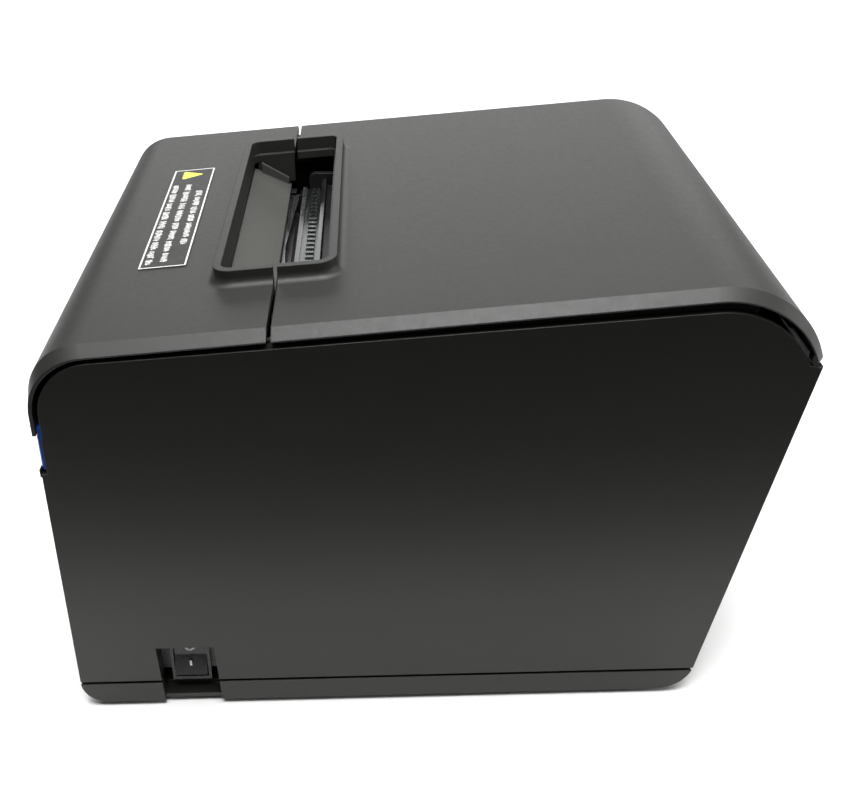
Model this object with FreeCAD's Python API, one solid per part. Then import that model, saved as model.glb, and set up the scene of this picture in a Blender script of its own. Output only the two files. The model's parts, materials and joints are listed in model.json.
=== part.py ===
"""Desktop receipt printer for 80 mm paper: fixed front cover, roll lid hinged at the back, auto cutter.

Build coordinates: X across (user's right is +X), Y from the front face towards the back, Z up from the
tray's underside, in mm. write_node() moves every piece to the part's own frame, whose origin is under
the middle of the body, level with the underside of the rubber feet.
"""
import FreeCAD, Part
import math
import os

V = FreeCAD.Vector

# ---- body envelope ----
WIDTH = 148.7            # outside width
BASE_DEPTH = 156.5       # front face to the back face, at the underside
FRONT_HEIGHT = 101.6     # top surface at the front face
TOP_SLOPE = 4.98         # degrees, the top rises towards the back
BACK_SLANT = 11.38       # degrees, the back leans outwards going up
R_FRONT_TOP = 13.2
R_BACK_TOP = 15.0        # round of the side walls, above their own edge
R_LID_BACK = 24.8        # round at the back of the lid
LID_BULGE = 3.4          # the round aims past the back wall, so the lid overhangs it
R_BACK_BASE = 9.0
R_FRONT_BASE = 6.3
FOOT_OUT = 1.5           # feet stand out below the tray

# ---- shells ----
WALL = 2.5
COVER_SKIN = 2.2
CHAMFER = 2.35            # bevel along both side edges of the covers
BEVEL_RUN = 2.6          # width of the bevel across
BEVEL_BACK = 1.0         # bevel along the back of the lid
BEVEL_FRONT_R = 14.2     # round of the bevel's outer edge, larger than the cover's own
COVER_PROUD = 0.5        # front cover stands out over the front wall
SKIRT_FRONT = 0.3        # cover edge behind the front face
PANEL_FRONT = 1.6        # side wall edge behind the front face
PANEL_BACK = 1.0         # side wall edge inside the lid, at the back
SKIRT_EXTRA = 0.3        # cover edge below the bevel
SHADOW_GAP = 1.05         # groove between the covers and the side walls
SHADOW_TAPER = 0.49       # degrees, the groove widens towards the back
TRAY_HEIGHT = 6.0
TRAY_SEAM = 0.9
COVER_SEAM_Y = 52.65      # joint between front cover and roll lid
COVER_SEAM = 1.0
COVER_LOW = 80.9         # lower edge of the front cover
LID_LOW = 97.2           # lower edge of the roll lid at the back
EDGE_GAP = 0.9           # gap under both of those edges

# ---- paper exit ----
COLLAR_FRONT_Y = 38.6
COLLAR_BACK_Y = 67.8
COLLAR_WIDTH = 97.0
COLLAR_HEIGHT = 3.8
COLLAR_RIM = 1.9
COLLAR_R = 4.5
COLLAR_FLARE = 2.0
LEDGE = 1.0
EXIT_HIGH_DROP = 3.9     # the exit plate below the top surface, at its front
EXIT_LOW_DROP = 9.8      # and at its rear edge
EXIT_REAR_Y = 51.4
EXIT_PLATE = 1.0

# ---- label ----
LABEL_X0 = -37.0
LABEL_X1 = 34.4
LABEL_Y0 = 18.3
LABEL_Y1 = 30.1
LABEL_T = 0.2
LABEL_TURN = 0.56         # degrees, the label was stuck on a little askew

# ---- lid hinge ----
HINGE_Y = 174.8
HINGE_Z = 97.9
HINGE_PIN_R = 0.8
KNUCKLE_R = 1.5
TAIL_SWEEP_R = 1.95
RUN_FIT = 0.05           # radial running clearance
SIDE_FIT = 0.3           # side clearance between moving faces

# ---- print mechanism ----
PLATE_T = 1.2            # chassis sheet
CHASSIS_HALF = 44.0      # inner face of the chassis side plates
CHASSIS_Z = 26.0
CHASSIS_TOP = 93.0
POST_X = (-14.0, 38.0)     # chassis posts on the tray
POST_Y = (18.0, 44.0)
PLATEN_Y = 62.4
PLATEN_Z = 86.0
PLATEN_R = 7.0
PLATEN_HALF = 41.0
SHAFT_R = 3.0
BUSH_R = 4.5
HEAD_FACE_Y = 54.9
HEAD_PIVOT_Y = 49.5
HEAD_PIVOT_Z = 67.0
FEED_MOTOR_Y = 28.0
FEED_MOTOR_Z = 46.2
FEED_MOTOR_SIZE = 35.0
FEED_MOTOR_LEN = 22.0
GEAR_M = 0.6
PLATEN_TEETH = 22
IDLER_TEETH = 72
FEED_PINION_TEETH = 18
GEAR_PLANE = 47.2        # inner face of the feed gears, on the left
GEAR_WIDTH = 4.0
GEAR_ROOM = 0.1          # added to each centre distance

# ---- cutter ----
CUT_SHAFT_Y = 30.0
CUT_SHAFT_Z = 85.0
CUT_SHAFT_R = 2.0
CUT_PINION_TEETH = 10
CUT_PINION_M = 1.0
CUT_GEAR_M = 0.8
CUT_GEAR_TEETH = 30
CUT_MOTOR_TEETH = 12
BLADE_TOP = 94.6
BLADE_T = 0.6
BLADE_HOME_Y = 54.0
BLADE_TRAVEL = 8.0
CARRIAGE_T = 3.0

# ---- latch and release ----
LATCH_Y = 57.5
LATCH_Z = 71.0
LATCH_SHAFT_R = 2.0
HOOK_PLANE = 45.5        # inner face of the latch hooks
HOOK_T = 1.0
ARM_REACH = 6.0         # latch shaft down to the pusher
BUTTON_X0 = 57.8
BUTTON_Z0 = 70.6
BUTTON_Z1 = 80.95
BUTTON_SKIN = 0.85       # side wall left beside the button
BUTTON_RISE = 1.6        # the button behind the cover edge, above it
LIP_OUT = 0.4           # lip under the button
BUTTON_SIDE = 1.25        # how far the button wraps round the corner
BUTTON_TRAVEL = 1.26

# ---- power switch ----
NOTCH_Y0 = 20.9
NOTCH_Y1 = 35.45
NOTCH_TOP = 17.7
NOTCH_LEAN = -0.05      # the notch leans to the front going up
SWITCH_FACE_X = WIDTH / 2 - 4.8
SWITCH_Y = 27.7
SWITCH_Z = 11.3
ROCKER_W = 8.2
ROCKER_L = 12.4
ROCKER_TILT = 9.0

# ---- front panel ----
PANEL_HALF = 27.0
PANEL_Z0 = 47.0
PANEL_Z1 = 65.0
FEED_KEY_X = 15.0
KEY_W = 13.0
KEY_H = 8.0
KEY_TRAVEL = 0.8
LAMP_PITCH = 9.0

# ---- paper well ----
ROLL_R = 40.0
WELL_ROOM = 1.5
WELL_WALL = 1.6
WELL_Y = 113.0
WELL_Z = 60.5
WELL_HALF = 41.5
DECK_Z = 88.0
DECK_T = 2.0

# ---- main board and sockets ----
BOARD_Z = 9.0
BOARD_T = 1.6
BOARD_Y0 = 64.0
BAY_FACE_Y = 153.6       # outer face of the socket panel
BAY_HALF = 54.0
BAY_Z0 = 9.0
BAY_Z1 = 27.0

tan_top = math.tan(math.radians(TOP_SLOPE))
cos_top = math.cos(math.radians(TOP_SLOPE))
tan_back = math.tan(math.radians(BACK_SLANT))
cos_back = math.cos(math.radians(BACK_SLANT))
HALF = WIDTH / 2


# ------------------------------------------------------------------ basic shapes
def box(x0, x1, y0, y1, z0, z1):
    return Part.makeBox(x1 - x0, y1 - y0, z1 - z0, V(x0, y0, z0))


def rod_x(y, z, radius, x0, x1):
    return Part.makeCylinder(radius, x1 - x0, V(x0, y, z), V(1, 0, 0))


def rod_y(x, z, radius, y0, y1):
    return Part.makeCylinder(radius, y1 - y0, V(x, y0, z), V(0, 1, 0))


def rod_z(x, y, radius, z0, z1):
    return Part.makeCylinder(radius, z1 - z0, V(x, y, z0), V(0, 0, 1))


def fuse(pieces):
    whole = pieces[0]
    if len(pieces) > 1:
        whole = whole.multiFuse(pieces[1:])
    return whole.removeSplitter()


def cut(body, tools):
    return body.cut(tools)


def rounded_wire(corners, x=0.0):
    """Closed wire in a YZ plane; each corner is (y, z, radius)."""
    points = [V(x, c[0], c[1]) for c in corners]
    count = len(points)
    ends = []
    for i, (y, z, radius) in enumerate(corners):
        here = points[i]
        back = (points[i - 1] - here).normalize()
        ahead = (points[(i + 1) % count] - here).normalize()
        half_angle = back.getAngle(ahead) / 2
        if radius <= 0:
            ends.append((here, None, here))
            continue
        reach = radius / math.tan(half_angle)
        middle = (back + ahead).normalize() * (radius / math.sin(half_angle) - radius)
        ends.append((here + back * reach, here + middle, here + ahead * reach))
    edges = []
    for i, (start, mid, end) in enumerate(ends):
        if mid is not None:
            edges.append(Part.Arc(start, mid, end).toShape())
        following = ends[(i + 1) % count][0]
        edges.append(Part.LineSegment(end, following).toShape())
    return Part.Wire(edges)


def slab(corners, x0, x1):
    """Rounded YZ outline extruded along X; corners may be (y, z) or (y, z, radius)."""
    full = [c if len(c) == 3 else (c[0], c[1], 0.0) for c in corners]
    return Part.Face(rounded_wire(full, x0)).extrude(V(x1 - x0, 0, 0))


def rounded_plate(x0, x1, y0, y1, radius, z0, z1):
    """Flat plate in XY with round corners."""
    plate = box(x0, x1, y0, y1, z0, z1)
    upright = [e for e in plate.Edges if abs(e.Vertexes[0].Z - e.Vertexes[1].Z) > 1e-6]
    return plate.makeFillet(radius, upright)


def rounded_front(x0, x1, y0, y1, z0, z1, radius):
    """Block whose four edges along Y are round."""
    block = box(x0, x1, y0, y1, z0, z1)
    along = [e for e in block.Edges if abs(e.Vertexes[0].Y - e.Vertexes[1].Y) > 1e-6]
    return block.makeFillet(radius, along)


def on_top(shape):
    """Move a shape drawn flat at Z = 0 onto the sloping top surface."""
    moved = shape.copy()
    moved.rotate(V(0, 0, 0), V(1, 0, 0), TOP_SLOPE)
    moved.translate(V(0, 0, FRONT_HEIGHT))
    return moved


def along_top(y):
    """Distance along the slope for a given Y."""
    return y / cos_top


def top_z(y):
    return FRONT_HEIGHT + tan_top * y


def mirrored(shape):
    return shape.mirror(V(0, 0, 0), V(1, 0, 0))


# ------------------------------------------------------------------ side outline of the body
def outline(top_in=0.0, front_in=0.0, back_in=0.0, base_in=0.0, taper=0.0, front_r=R_FRONT_TOP,
            back_r=R_BACK_TOP):
    """Corners of the side outline, each side moved inwards by its own amount."""
    slope = math.tan(math.radians(TOP_SLOPE - taper))
    top_at_front = FRONT_HEIGHT - top_in / cos_top
    back_at_base = BASE_DEPTH - back_in / cos_back
    corner_z = (top_at_front + slope * back_at_base) / (1 - slope * tan_back)
    return [
        (front_in, base_in, max(R_FRONT_BASE - base_in, 0.5)),
        (back_at_base + tan_back * base_in, base_in, max(R_BACK_BASE - base_in, 0.5)),
        (back_at_base + tan_back * corner_z, corner_z, back_r),
        (front_in, top_at_front + slope * front_in, front_r),
    ]


def cover_outline(top_in=0.0, front_in=0.0, back_in=0.0, base_in=0.0, front_r=R_FRONT_TOP):
    """Side outline of the covers, which bulges over the back wall."""
    return outline(top_in, front_in - COVER_PROUD, back_in - LID_BULGE, base_in, 0.0, front_r,
                   R_LID_BACK - back_in)


def skirt_outline():
    """Edge of the covers below the bevel."""
    return cover_outline(CHAMFER + SKIRT_EXTRA, SKIRT_FRONT + COVER_PROUD, BEVEL_BACK + SKIRT_EXTRA, -5,
                         BEVEL_FRONT_R)


def rear_reach():
    """Largest Y of the body, at the lower edge of the lid."""
    edge = slab(cover_outline(), 0, 1).common(box(0, 1, 100, 200, LID_LOW, LID_LOW + 1))
    return edge.BoundBox.YMax


# ------------------------------------------------------------------ covers
def cover_block():
    """Solid of the top: flat middle and bevelled side edges, with the flared collar."""
    flat_half = HALF - BEVEL_RUN
    whole = cover_outline()
    edge = cover_outline(CHAMFER, 0, BEVEL_BACK, 0, BEVEL_FRONT_R)
    parts = [slab(whole, -flat_half, flat_half)]
    for side in (-1, 1):
        inner = rounded_wire(whole, side * flat_half)
        outer = rounded_wire(edge, side * HALF)
        parts.append(Part.makeLoft([inner, outer], True, True))
    block = parts[0].multiFuse(parts[1:]).removeSplitter()
    half = COLLAR_WIDTH / 2
    front = along_top(COLLAR_FRONT_Y)
    back = along_top(COLLAR_BACK_Y)
    collar = on_top(rounded_plate(-half, half, front, back, COLLAR_R, -1.0, COLLAR_HEIGHT))
    block = block.fuse(collar)
    return block.makeFillet(COLLAR_FLARE, collar_foot(block, half, front, back))


def collar_foot(block, half, front, back):
    """Edges where the collar meets the top surface."""
    reach = 0.2
    found = []
    for edge in block.Edges:
        box_ = edge.BoundBox
        middle = edge.valueAt((edge.FirstParameter + edge.LastParameter) / 2)
        height = (middle.z - top_z(middle.y)) * cos_top
        inside = abs(middle.x) < half + reach and COLLAR_FRONT_Y - 2 < middle.y < COLLAR_BACK_Y + 2
        if abs(height) < 0.01 and inside and box_.DiagonalLength < 2 * half + 1:
            found.append(edge)
    return found


def collar_hole():
    """Opening through the collar, with the small ledge at the level of the top surface."""
    half = COLLAR_WIDTH / 2 - COLLAR_RIM
    front = along_top(COLLAR_FRONT_Y) + COLLAR_RIM
    back = along_top(COLLAR_BACK_Y) - COLLAR_RIM
    corner = COLLAR_R - COLLAR_RIM
    upper = rounded_plate(-half, half, front, back, corner, 0.0, COLLAR_HEIGHT + 1)
    lower = rounded_plate(-half + LEDGE, half - LEDGE, front, back - LEDGE, corner - LEDGE / 2, -20.0, 0.5)
    return on_top(upper.fuse(lower))


def cover_shell():
    """Both covers in one hollow shell, before they are parted at the seam."""
    wide = slab(skirt_outline(), -HALF - 1, HALF + 1)
    middle = HALF - WALL - 1.5
    inner = slab(cover_outline(COVER_SKIN, COVER_SKIN, COVER_SKIN, -5, R_FRONT_TOP - COVER_SKIN), -middle, middle)
    return cover_block().cut([wide.fuse(inner), collar_hole()])


def make_front_cover(shell):
    front = box(-HALF - 1, HALF + 1, -5, COVER_SEAM_Y, COVER_LOW, 140)
    half = COLLAR_WIDTH / 2 - COLLAR_RIM - LEDGE
    cheek = [(COLLAR_FRONT_Y + 3, top_z(COLLAR_FRONT_Y) - 1.5), (COVER_SEAM_Y, top_z(COVER_SEAM_Y) - 1.5),
             (COVER_SEAM_Y, top_z(COVER_SEAM_Y) - 9.0), (COLLAR_FRONT_Y + 3, top_z(COLLAR_FRONT_Y) - 9.0)]
    cheeks = [slab(cheek, half, half + 1.6), slab(cheek, -half - 1.6, -half)]
    apron = box(-half - 1.6, half + 1.6, COLLAR_FRONT_Y + 0.4, COLLAR_FRONT_Y + COLLAR_RIM,
                top_z(COLLAR_FRONT_Y) - 9.0, top_z(COLLAR_FRONT_Y) - 3.2)
    return fuse([shell.common(front)] + cheeks + [apron])


def make_roll_lid(shell):
    """Rear cover with its knuckles and the cheeks that carry the platen."""
    seam = COVER_SEAM_Y + COVER_SEAM
    lid = shell.common(box(-HALF - 1, HALF + 1, seam, 200, LID_LOW, 140))
    ears = [ear_slot(side) for side in (-1, 1)]
    lid = cut(lid, ears)
    knuckles = [lid_knuckle(side) for side in (-1, 1)]
    discs = [lid_disc(side) for side in (-1, 1)]
    back = along_top(COLLAR_BACK_Y) - COLLAR_RIM - LEDGE
    apron_half = PLATEN_HALF
    apron = on_top(box(-apron_half, apron_half, back, back + 1.6, -10.2, -1.5))
    whole = fuse([lid, apron] + knuckles + discs)
    bores = []
    for side in (-1, 1):
        x0, x1 = both_ways(side, EAR_X0 - 1, KNUCKLE_X1 + 1)
        bores.append(rod_x(HINGE_Y, HINGE_Z, HINGE_PIN_R + RUN_FIT, x0, x1))
    return cut(whole, bores)


def lid_disc(side):
    """Round end of the lid's side edge, which turns in the scoop of the side wall."""
    radius = TAIL_SWEEP_R - SIDE_FIT
    x0, x1 = both_ways(side, HALF - WALL, HALF - 0.15)
    disc = rod_x(HINGE_Y, HINGE_Z, radius, x0, x1)
    return disc.common(slab(cover_outline(CHAMFER, 0, BEVEL_BACK), x0, x1))


# ------------------------------------------------------------------ hinge
EAR_X0 = 40.0
EAR_X1 = 47.0
KNUCKLE_X1 = 56.0


def both_ways(side, x0, x1):
    return (x0, x1) if side > 0 else (-x1, -x0)


def ear_slot(side):
    """Room in the lid for one housing ear."""
    x0, x1 = both_ways(side, EAR_X0 - SIDE_FIT, EAR_X1 + SIDE_FIT)
    room = rod_x(HINGE_Y, HINGE_Z, KNUCKLE_R + SIDE_FIT, x0, x1)
    return room.fuse(box(x0, x1, HINGE_Y, HINGE_Y + 12, LID_LOW - 8, HINGE_Z + KNUCKLE_R + SIDE_FIT))


def lid_knuckle(side):
    x0, x1 = both_ways(side, EAR_X1 + SIDE_FIT, KNUCKLE_X1)
    eye = rod_x(HINGE_Y, HINGE_Z, KNUCKLE_R, x0, x1)
    web = slab([(HINGE_Y - KNUCKLE_R, HINGE_Z), (HINGE_Y + 1.2, HINGE_Z), (HINGE_Y - 1, 109.0),
                (HINGE_Y - 8, 112.0)], x0, x1)
    web = web.common(slab(cover_outline(COVER_SKIN / 2, 0, COVER_SKIN / 2), x0, x1))
    return eye.fuse(web)


def housing_ear(side):
    """Ear on the back wall that holds one hinge pin."""
    x0, x1 = both_ways(side, EAR_X0, EAR_X1)
    eye = rod_x(HINGE_Y, HINGE_Z, KNUCKLE_R, x0, x1)
    foot = slab([(HINGE_Y - KNUCKLE_R, HINGE_Z), (HINGE_Y + KNUCKLE_R, HINGE_Z),
                 (HINGE_Y + 2.0, 90.0), (HINGE_Y - 1.5, 84.0)], x0, x1)
    foot = foot.common(slab(outline(), x0, x1))
    return eye.fuse(foot).cut(rod_x(HINGE_Y, HINGE_Z, HINGE_PIN_R, x0 - 1, x1 + 1))


def make_hinge_pins():
    pins = []
    for side in (-1, 1):
        x0, x1 = both_ways(side, EAR_X0, KNUCKLE_X1 + 0.5)
        pins.append(rod_x(HINGE_Y, HINGE_Z, HINGE_PIN_R, x0, x1))
    return Part.makeCompound(pins)


# ------------------------------------------------------------------ housing and tray
def panel_outline():
    """Side wall outline, set in from the covers by the shadow groove."""
    inside = BEVEL_BACK + SKIRT_EXTRA + PANEL_BACK
    return outline(CHAMFER + SKIRT_EXTRA + SHADOW_GAP, PANEL_FRONT, inside - LID_BULGE, 0.0, SHADOW_TAPER,
                   R_FRONT_TOP - 0.3, R_LID_BACK - inside)


def housing_side(x0, x1):
    whole = slab(outline(), x0, x1)
    low_front = whole.common(box(x0, x1, -1, 60, 0, COVER_LOW - EDGE_GAP))
    low_back = whole.common(box(x0, x1, 140, 200, 0, LID_LOW - EDGE_GAP))
    panel = slab(panel_outline(), x0, x1).common(whole)
    return panel.multiFuse([low_front, low_back])


def notch_block(x0, x1):
    lean = NOTCH_LEAN * NOTCH_TOP
    return slab([(NOTCH_Y0, 0.0), (NOTCH_Y1, 0.0), (NOTCH_Y1, -5.0), (NOTCH_Y0, -5.0)], x0, x1).fuse(
        slab([(NOTCH_Y0, 0.0), (NOTCH_Y1, 0.0), (NOTCH_Y1 + lean, NOTCH_TOP), (NOTCH_Y0 + lean, NOTCH_TOP)],
             x0, x1))


def make_main_housing():
    """Side, front and back walls in one moulding, with hinge ears and the switch pocket."""
    inner = HALF - WALL
    right = housing_side(inner, HALF)
    left = housing_side(-HALF, -inner)
    front = box(-inner, inner, 0, WALL, TRAY_HEIGHT, COVER_LOW - EDGE_GAP)
    back = slab(outline(), -inner, inner).cut(slab(outline(0, 0, WALL, -5), -inner, inner))
    back = back.common(box(-inner, inner, 140, 200, TRAY_HEIGHT, LID_LOW - EDGE_GAP))
    lips = [edge_lip(side) for side in (-1, 1)]
    pocket = box(SWITCH_FACE_X - 2, inner, NOTCH_Y0 - 4, NOTCH_Y1 + 2, TRAY_HEIGHT, NOTCH_TOP + 5)
    ears = [housing_ear(side) for side in (-1, 1)]
    bezel = box(BUTTON_X0 - 0.6, HALF - 0.2, -LIP_OUT, WALL, BUTTON_Z0 - 0.8, BUTTON_Z0 - 0.1)
    hook = box(BUTTON_X0 - 0.6, HALF - 0.2, -LIP_OUT, -LIP_OUT + 0.3, BUTTON_Z0 - 0.8, BUTTON_Z0 + 1.2)
    shell = fuse([right, left, front, back, pocket, bezel, hook] + lips)
    shell = cut(shell, [box(-HALF - 1, HALF + 1, -5, 200, -5, TRAY_HEIGHT + TRAY_SEAM),
                        rod_x(HINGE_Y, HINGE_Z, TAIL_SWEEP_R, -HALF - 1, HALF + 1)])
    flange_room = box(SWITCH_FACE_X, inner, SWITCH_Y - 5.2, SWITCH_Y + 5.2, SWITCH_Z - 7.7, SWITCH_Z + 7.7)
    shell = cut(shell, [notch_block(SWITCH_FACE_X, HALF + 1), flange_room, switch_hole(), button_hole(), panel_hole(),
                        box(-BAY_HALF, BAY_HALF, 140, 180, BAY_Z0 - 5, BAY_Z1)])
    return fuse([shell] + ears)


def edge_lip(side):
    """Thin rib inside the side wall that closes the view through the shadow groove."""
    x0, x1 = both_ways(side, HALF - WALL - 1.2, HALF - WALL)
    ring = slab(cover_outline(CHAMFER + 0.6, 3.7, CHAMFER + 0.6, 0, R_FRONT_TOP - 2), x0, x1)
    ring = ring.cut(slab(outline(12, 10, 12, -5, 0, 3), x0, x1))
    return ring.common(box(x0, x1, 0, 160, 74, 140))


def button_hole():
    """Window in the front right corner, deep enough for the button's travel."""
    front = box(BUTTON_X0, HALF + 1, -LIP_OUT + 0.3, BUTTON_SIDE, BUTTON_Z0, COVER_LOW)
    through = box(BUTTON_X0, HALF - BUTTON_SKIN, -LIP_OUT + 0.3, WALL + 2 + BUTTON_TRAVEL + 0.3, BUTTON_Z0,
                  COVER_LOW + BUTTON_RISE + 0.3)
    return front.fuse(through)


def panel_hole():
    return rounded_front(-PANEL_HALF, PANEL_HALF, -1, WALL + 1, PANEL_Z0, PANEL_Z1, 3.0)


def switch_hole():
    return box(SWITCH_FACE_X - 6, SWITCH_FACE_X + 1, SWITCH_Y - 4.4, SWITCH_Y + 4.4,
               SWITCH_Z - 6.9, SWITCH_Z + 6.9)


def make_base_tray():
    """Shallow tray that closes the body from below, with the chassis and board posts."""
    whole = slab(outline(), -HALF, HALF).common(box(-HALF, HALF, -1, 200, 0, TRAY_HEIGHT))
    hollow = slab(outline(0, WALL, WALL, -5), -HALF + WALL, HALF - WALL)
    tray = whole.cut(hollow.common(box(-HALF, HALF, 0, 200, 2.0, 20)))
    rim = slab(outline(0, WALL + 0.2, WALL + 0.2), -HALF + WALL + 0.2, HALF - WALL - 0.2)
    rim = rim.cut(slab(outline(0, WALL + 1.4, WALL + 1.4, -5), -HALF + WALL + 1.4, HALF - WALL - 1.4))
    rim = rim.common(box(-HALF, HALF, 0, 200, 1.0, TRAY_HEIGHT + TRAY_SEAM + 1.5))
    bay = box(-BAY_HALF, BAY_HALF, BAY_FACE_Y - 3, 200, 2.0, 40)
    rim = rim.cut([bay, box(SWITCH_FACE_X - 7, HALF, NOTCH_Y0 - 5, NOTCH_Y1 + 3, 2.0, 40)])
    posts = [rod_z(x, y, 4.0, 1.0, CHASSIS_Z) for x in POST_X for y in POST_Y]
    stands = [rod_z(x, y, 3.0, 1.0, BOARD_Z) for x in (-56, 56) for y in (BOARD_Y0 + 6, 134)]
    tray = fuse([tray, rim] + posts + stands)
    notch = notch_block(SWITCH_FACE_X - 0.5, HALF + 1).common(box(0, HALF + 1, 0, 60, 1.0, 60))
    edge = notch_block(HALF - 1.2, HALF + 1)
    feet = [rod_z(x, y, FOOT_R, -1, 0.8) for x, y in foot_places()]
    return cut(tray, [notch, edge] + feet)


FOOT_R = 6.0


def foot_places():
    side = HALF - 13
    return [(x, y) for x in (-side, side) for y in (15.0, BASE_DEPTH - 16.0)]


def make_feet():
    feet = [rod_z(x, y, FOOT_R - 0.1, -FOOT_OUT, 0.8) for x, y in foot_places()]
    return Part.makeCompound([f.makeChamfer(0.5, [f.Edges[i] for i in low_edges(f)]) for f in feet])


def low_edges(solid):
    low = solid.BoundBox.ZMin
    return [i for i, e in enumerate(solid.Edges) if e.BoundBox.ZMax < low + 1e-6]


# ------------------------------------------------------------------ paper well
def make_paper_well():
    """Round trough for the roll, with the deck that closes the body around it."""
    outer_r = ROLL_R + WELL_ROOM + WELL_WALL
    inner_r = ROLL_R + WELL_ROOM
    half = WELL_HALF + WELL_WALL
    trough = rod_x(WELL_Y, WELL_Z, outer_r, -half, half)
    trough = trough.fuse(box(-half, half, WELL_Y - outer_r, WELL_Y + outer_r, WELL_Z, DECK_Z + DECK_T))
    deck_half = HALF - WALL - 1.6
    deck_front = PLATEN_Y + PLATEN_R + 3.5
    deck = box(-deck_half, deck_half, deck_front, HINGE_Y - 4.5, DECK_Z, DECK_Z + DECK_T)
    room = rod_x(WELL_Y, WELL_Z, inner_r, -WELL_HALF, WELL_HALF)
    room = room.fuse(box(-WELL_HALF, WELL_HALF, WELL_Y - inner_r, WELL_Y + inner_r, WELL_Z, DECK_Z + 5))
    trough = trough.common(box(-half, half, deck_front, 200, 0, DECK_Z + DECK_T))
    sight = box(-half - 1, -WELL_HALF + 1, WELL_Y - 4, WELL_Y + 4, 32, 38)
    return cut(fuse([trough, deck]), [room, sight])


def make_near_end_sensor():
    half = WELL_HALF + WELL_WALL
    block = box(-half - 6.5, -half, WELL_Y - 8, WELL_Y + 8, 29, 41)
    return block.fuse(box(-half, -WELL_HALF - 0.2, WELL_Y - 3.6, WELL_Y + 3.6, 32.4, 37.6))


# ------------------------------------------------------------------ chassis and print head
def platen_ring(radius, x0, x1):
    """Path of the platen's ends as the lid opens: a ring about the hinge."""
    reach = math.hypot(HINGE_Y - PLATEN_Y, HINGE_Z - PLATEN_Z)
    ring = rod_x(HINGE_Y, HINGE_Z, reach + radius, x0, x1).cut(rod_x(HINGE_Y, HINGE_Z, reach - radius, x0, x1))
    return ring.common(box(x0, x1, PLATEN_Y - 20, PLATEN_Y + 20, PLATEN_Z - 1, 140))


def make_chassis():
    """Folded steel frame: floor, two side plates, and the wall behind the head springs."""
    outer = CHASSIS_HALF + PLATE_T
    floor = box(-outer, outer, 10, 50, CHASSIS_Z, CHASSIS_Z + PLATE_T)
    spring_wall = box(-outer, outer, 40.6, 41.8, 65, 88.5)
    plates = []
    for side in (-1, 1):
        x0, x1 = both_ways(side, CHASSIS_HALF, outer)
        plate = slab([(10, CHASSIS_Z, 3), (66, CHASSIS_Z, 3), (71.5, 60, 3), (71.5, CHASSIS_TOP, 3),
                      (10, CHASSIS_TOP, 3)], x0, x1)
        plates.append(plate)
    frame = fuse([floor, spring_wall] + plates)
    holes = [platen_ring(BUSH_R + 0.2, -60, 60), rod_x(PLATEN_Y, PLATEN_Z, BUSH_R + 0.2, -60, 60),
             rod_x(LATCH_Y, LATCH_Z, LATCH_SHAFT_R + RUN_FIT, -60, 60),
             rod_x(CUT_SHAFT_Y, CUT_SHAFT_Z, CUT_SHAFT_R + RUN_FIT, -60, 60),
             rod_x(HEAD_PIVOT_Y, HEAD_PIVOT_Z, HEAD_PIN_R, -60, 60),
             rod_x(FEED_MOTOR_Y, FEED_MOTOR_Z, 8.0, -60, 0), rod_x(CUT_SHAFT_Y, cut_motor_z(), 6.5, 0, 60),
             rod_x(idler_place()[0], idler_place()[1], IDLER_PIN_R, -60, 0)]
    holes += [rod_z(x, y, 1.6, CHASSIS_Z - 1, CHASSIS_Z + 3) for x in POST_X for y in POST_Y]
    return cut(frame, holes)


HEAD_PIN_R = 1.5


def make_head_pin():
    return rod_x(HEAD_PIVOT_Y, HEAD_PIVOT_Z, HEAD_PIN_R, -CHASSIS_HALF - PLATE_T, CHASSIS_HALF + PLATE_T)


def make_heat_sink():
    """Aluminium carrier behind the print head, with its pivot and cooling slots."""
    half = CHASSIS_HALF - 1.0
    back = slab([(46.2, 72), (HEAD_FACE_Y - 2.0, 72), (HEAD_FACE_Y - 2.0, 88), (49, 88), (46.2, 85)], -half, half)
    foot = slab([(46.2, 63.5, 1), (HEAD_FACE_Y - 2.0, 63.5, 1), (HEAD_FACE_Y - 2.0, 73), (46.2, 73)], -half, half)
    slots = [box(x, x + 2.4, 45, 49.0, 74.5, 90) for x in [-37.5 + 6 * i for i in range(13)]]
    bore = rod_x(HEAD_PIVOT_Y, HEAD_PIVOT_Z, HEAD_PIN_R + RUN_FIT, -half - 1, half + 1)
    seats = [rod_y(x, HEAD_SPRING_Z, HEAD_SPRING_R + 0.5, 45, HEAD_SEAT_Y) for x in HEAD_SPRING_X]
    return cut(fuse([back, foot]), slots + [bore] + seats)


HEAD_SPRING_Z = 80.0
HEAD_SPRING_X = (-27.3, 2.7, 32.7)
HEAD_SPRING_R = 2.7
HEAD_SPRING_L = 4.65
HEAD_SPRING_ROOM = 0.35    # left for the head to tilt back
HEAD_SEAT_Y = 47.2


def make_head_springs():
    """Three coils between the chassis and the heat sink, each a sleeve with its turns standing out."""
    start = HEAD_SEAT_Y - HEAD_SPRING_L - HEAD_SPRING_ROOM
    springs = []
    for x in HEAD_SPRING_X:
        sleeve = rod_y(x, HEAD_SPRING_Z, HEAD_SPRING_R - 0.3, start, start + HEAD_SPRING_L)
        turns = [rod_y(x, HEAD_SPRING_Z, HEAD_SPRING_R, start + 0.9 * i, start + 0.9 * i + 0.5)
                 for i in range(1, 5)]
        bore = rod_y(x, HEAD_SPRING_Z, HEAD_SPRING_R - 0.6, start - 1, start + HEAD_SPRING_L + 1)
        springs.append(cut(fuse([sleeve] + turns), [bore]))
    return Part.makeCompound(springs)


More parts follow.
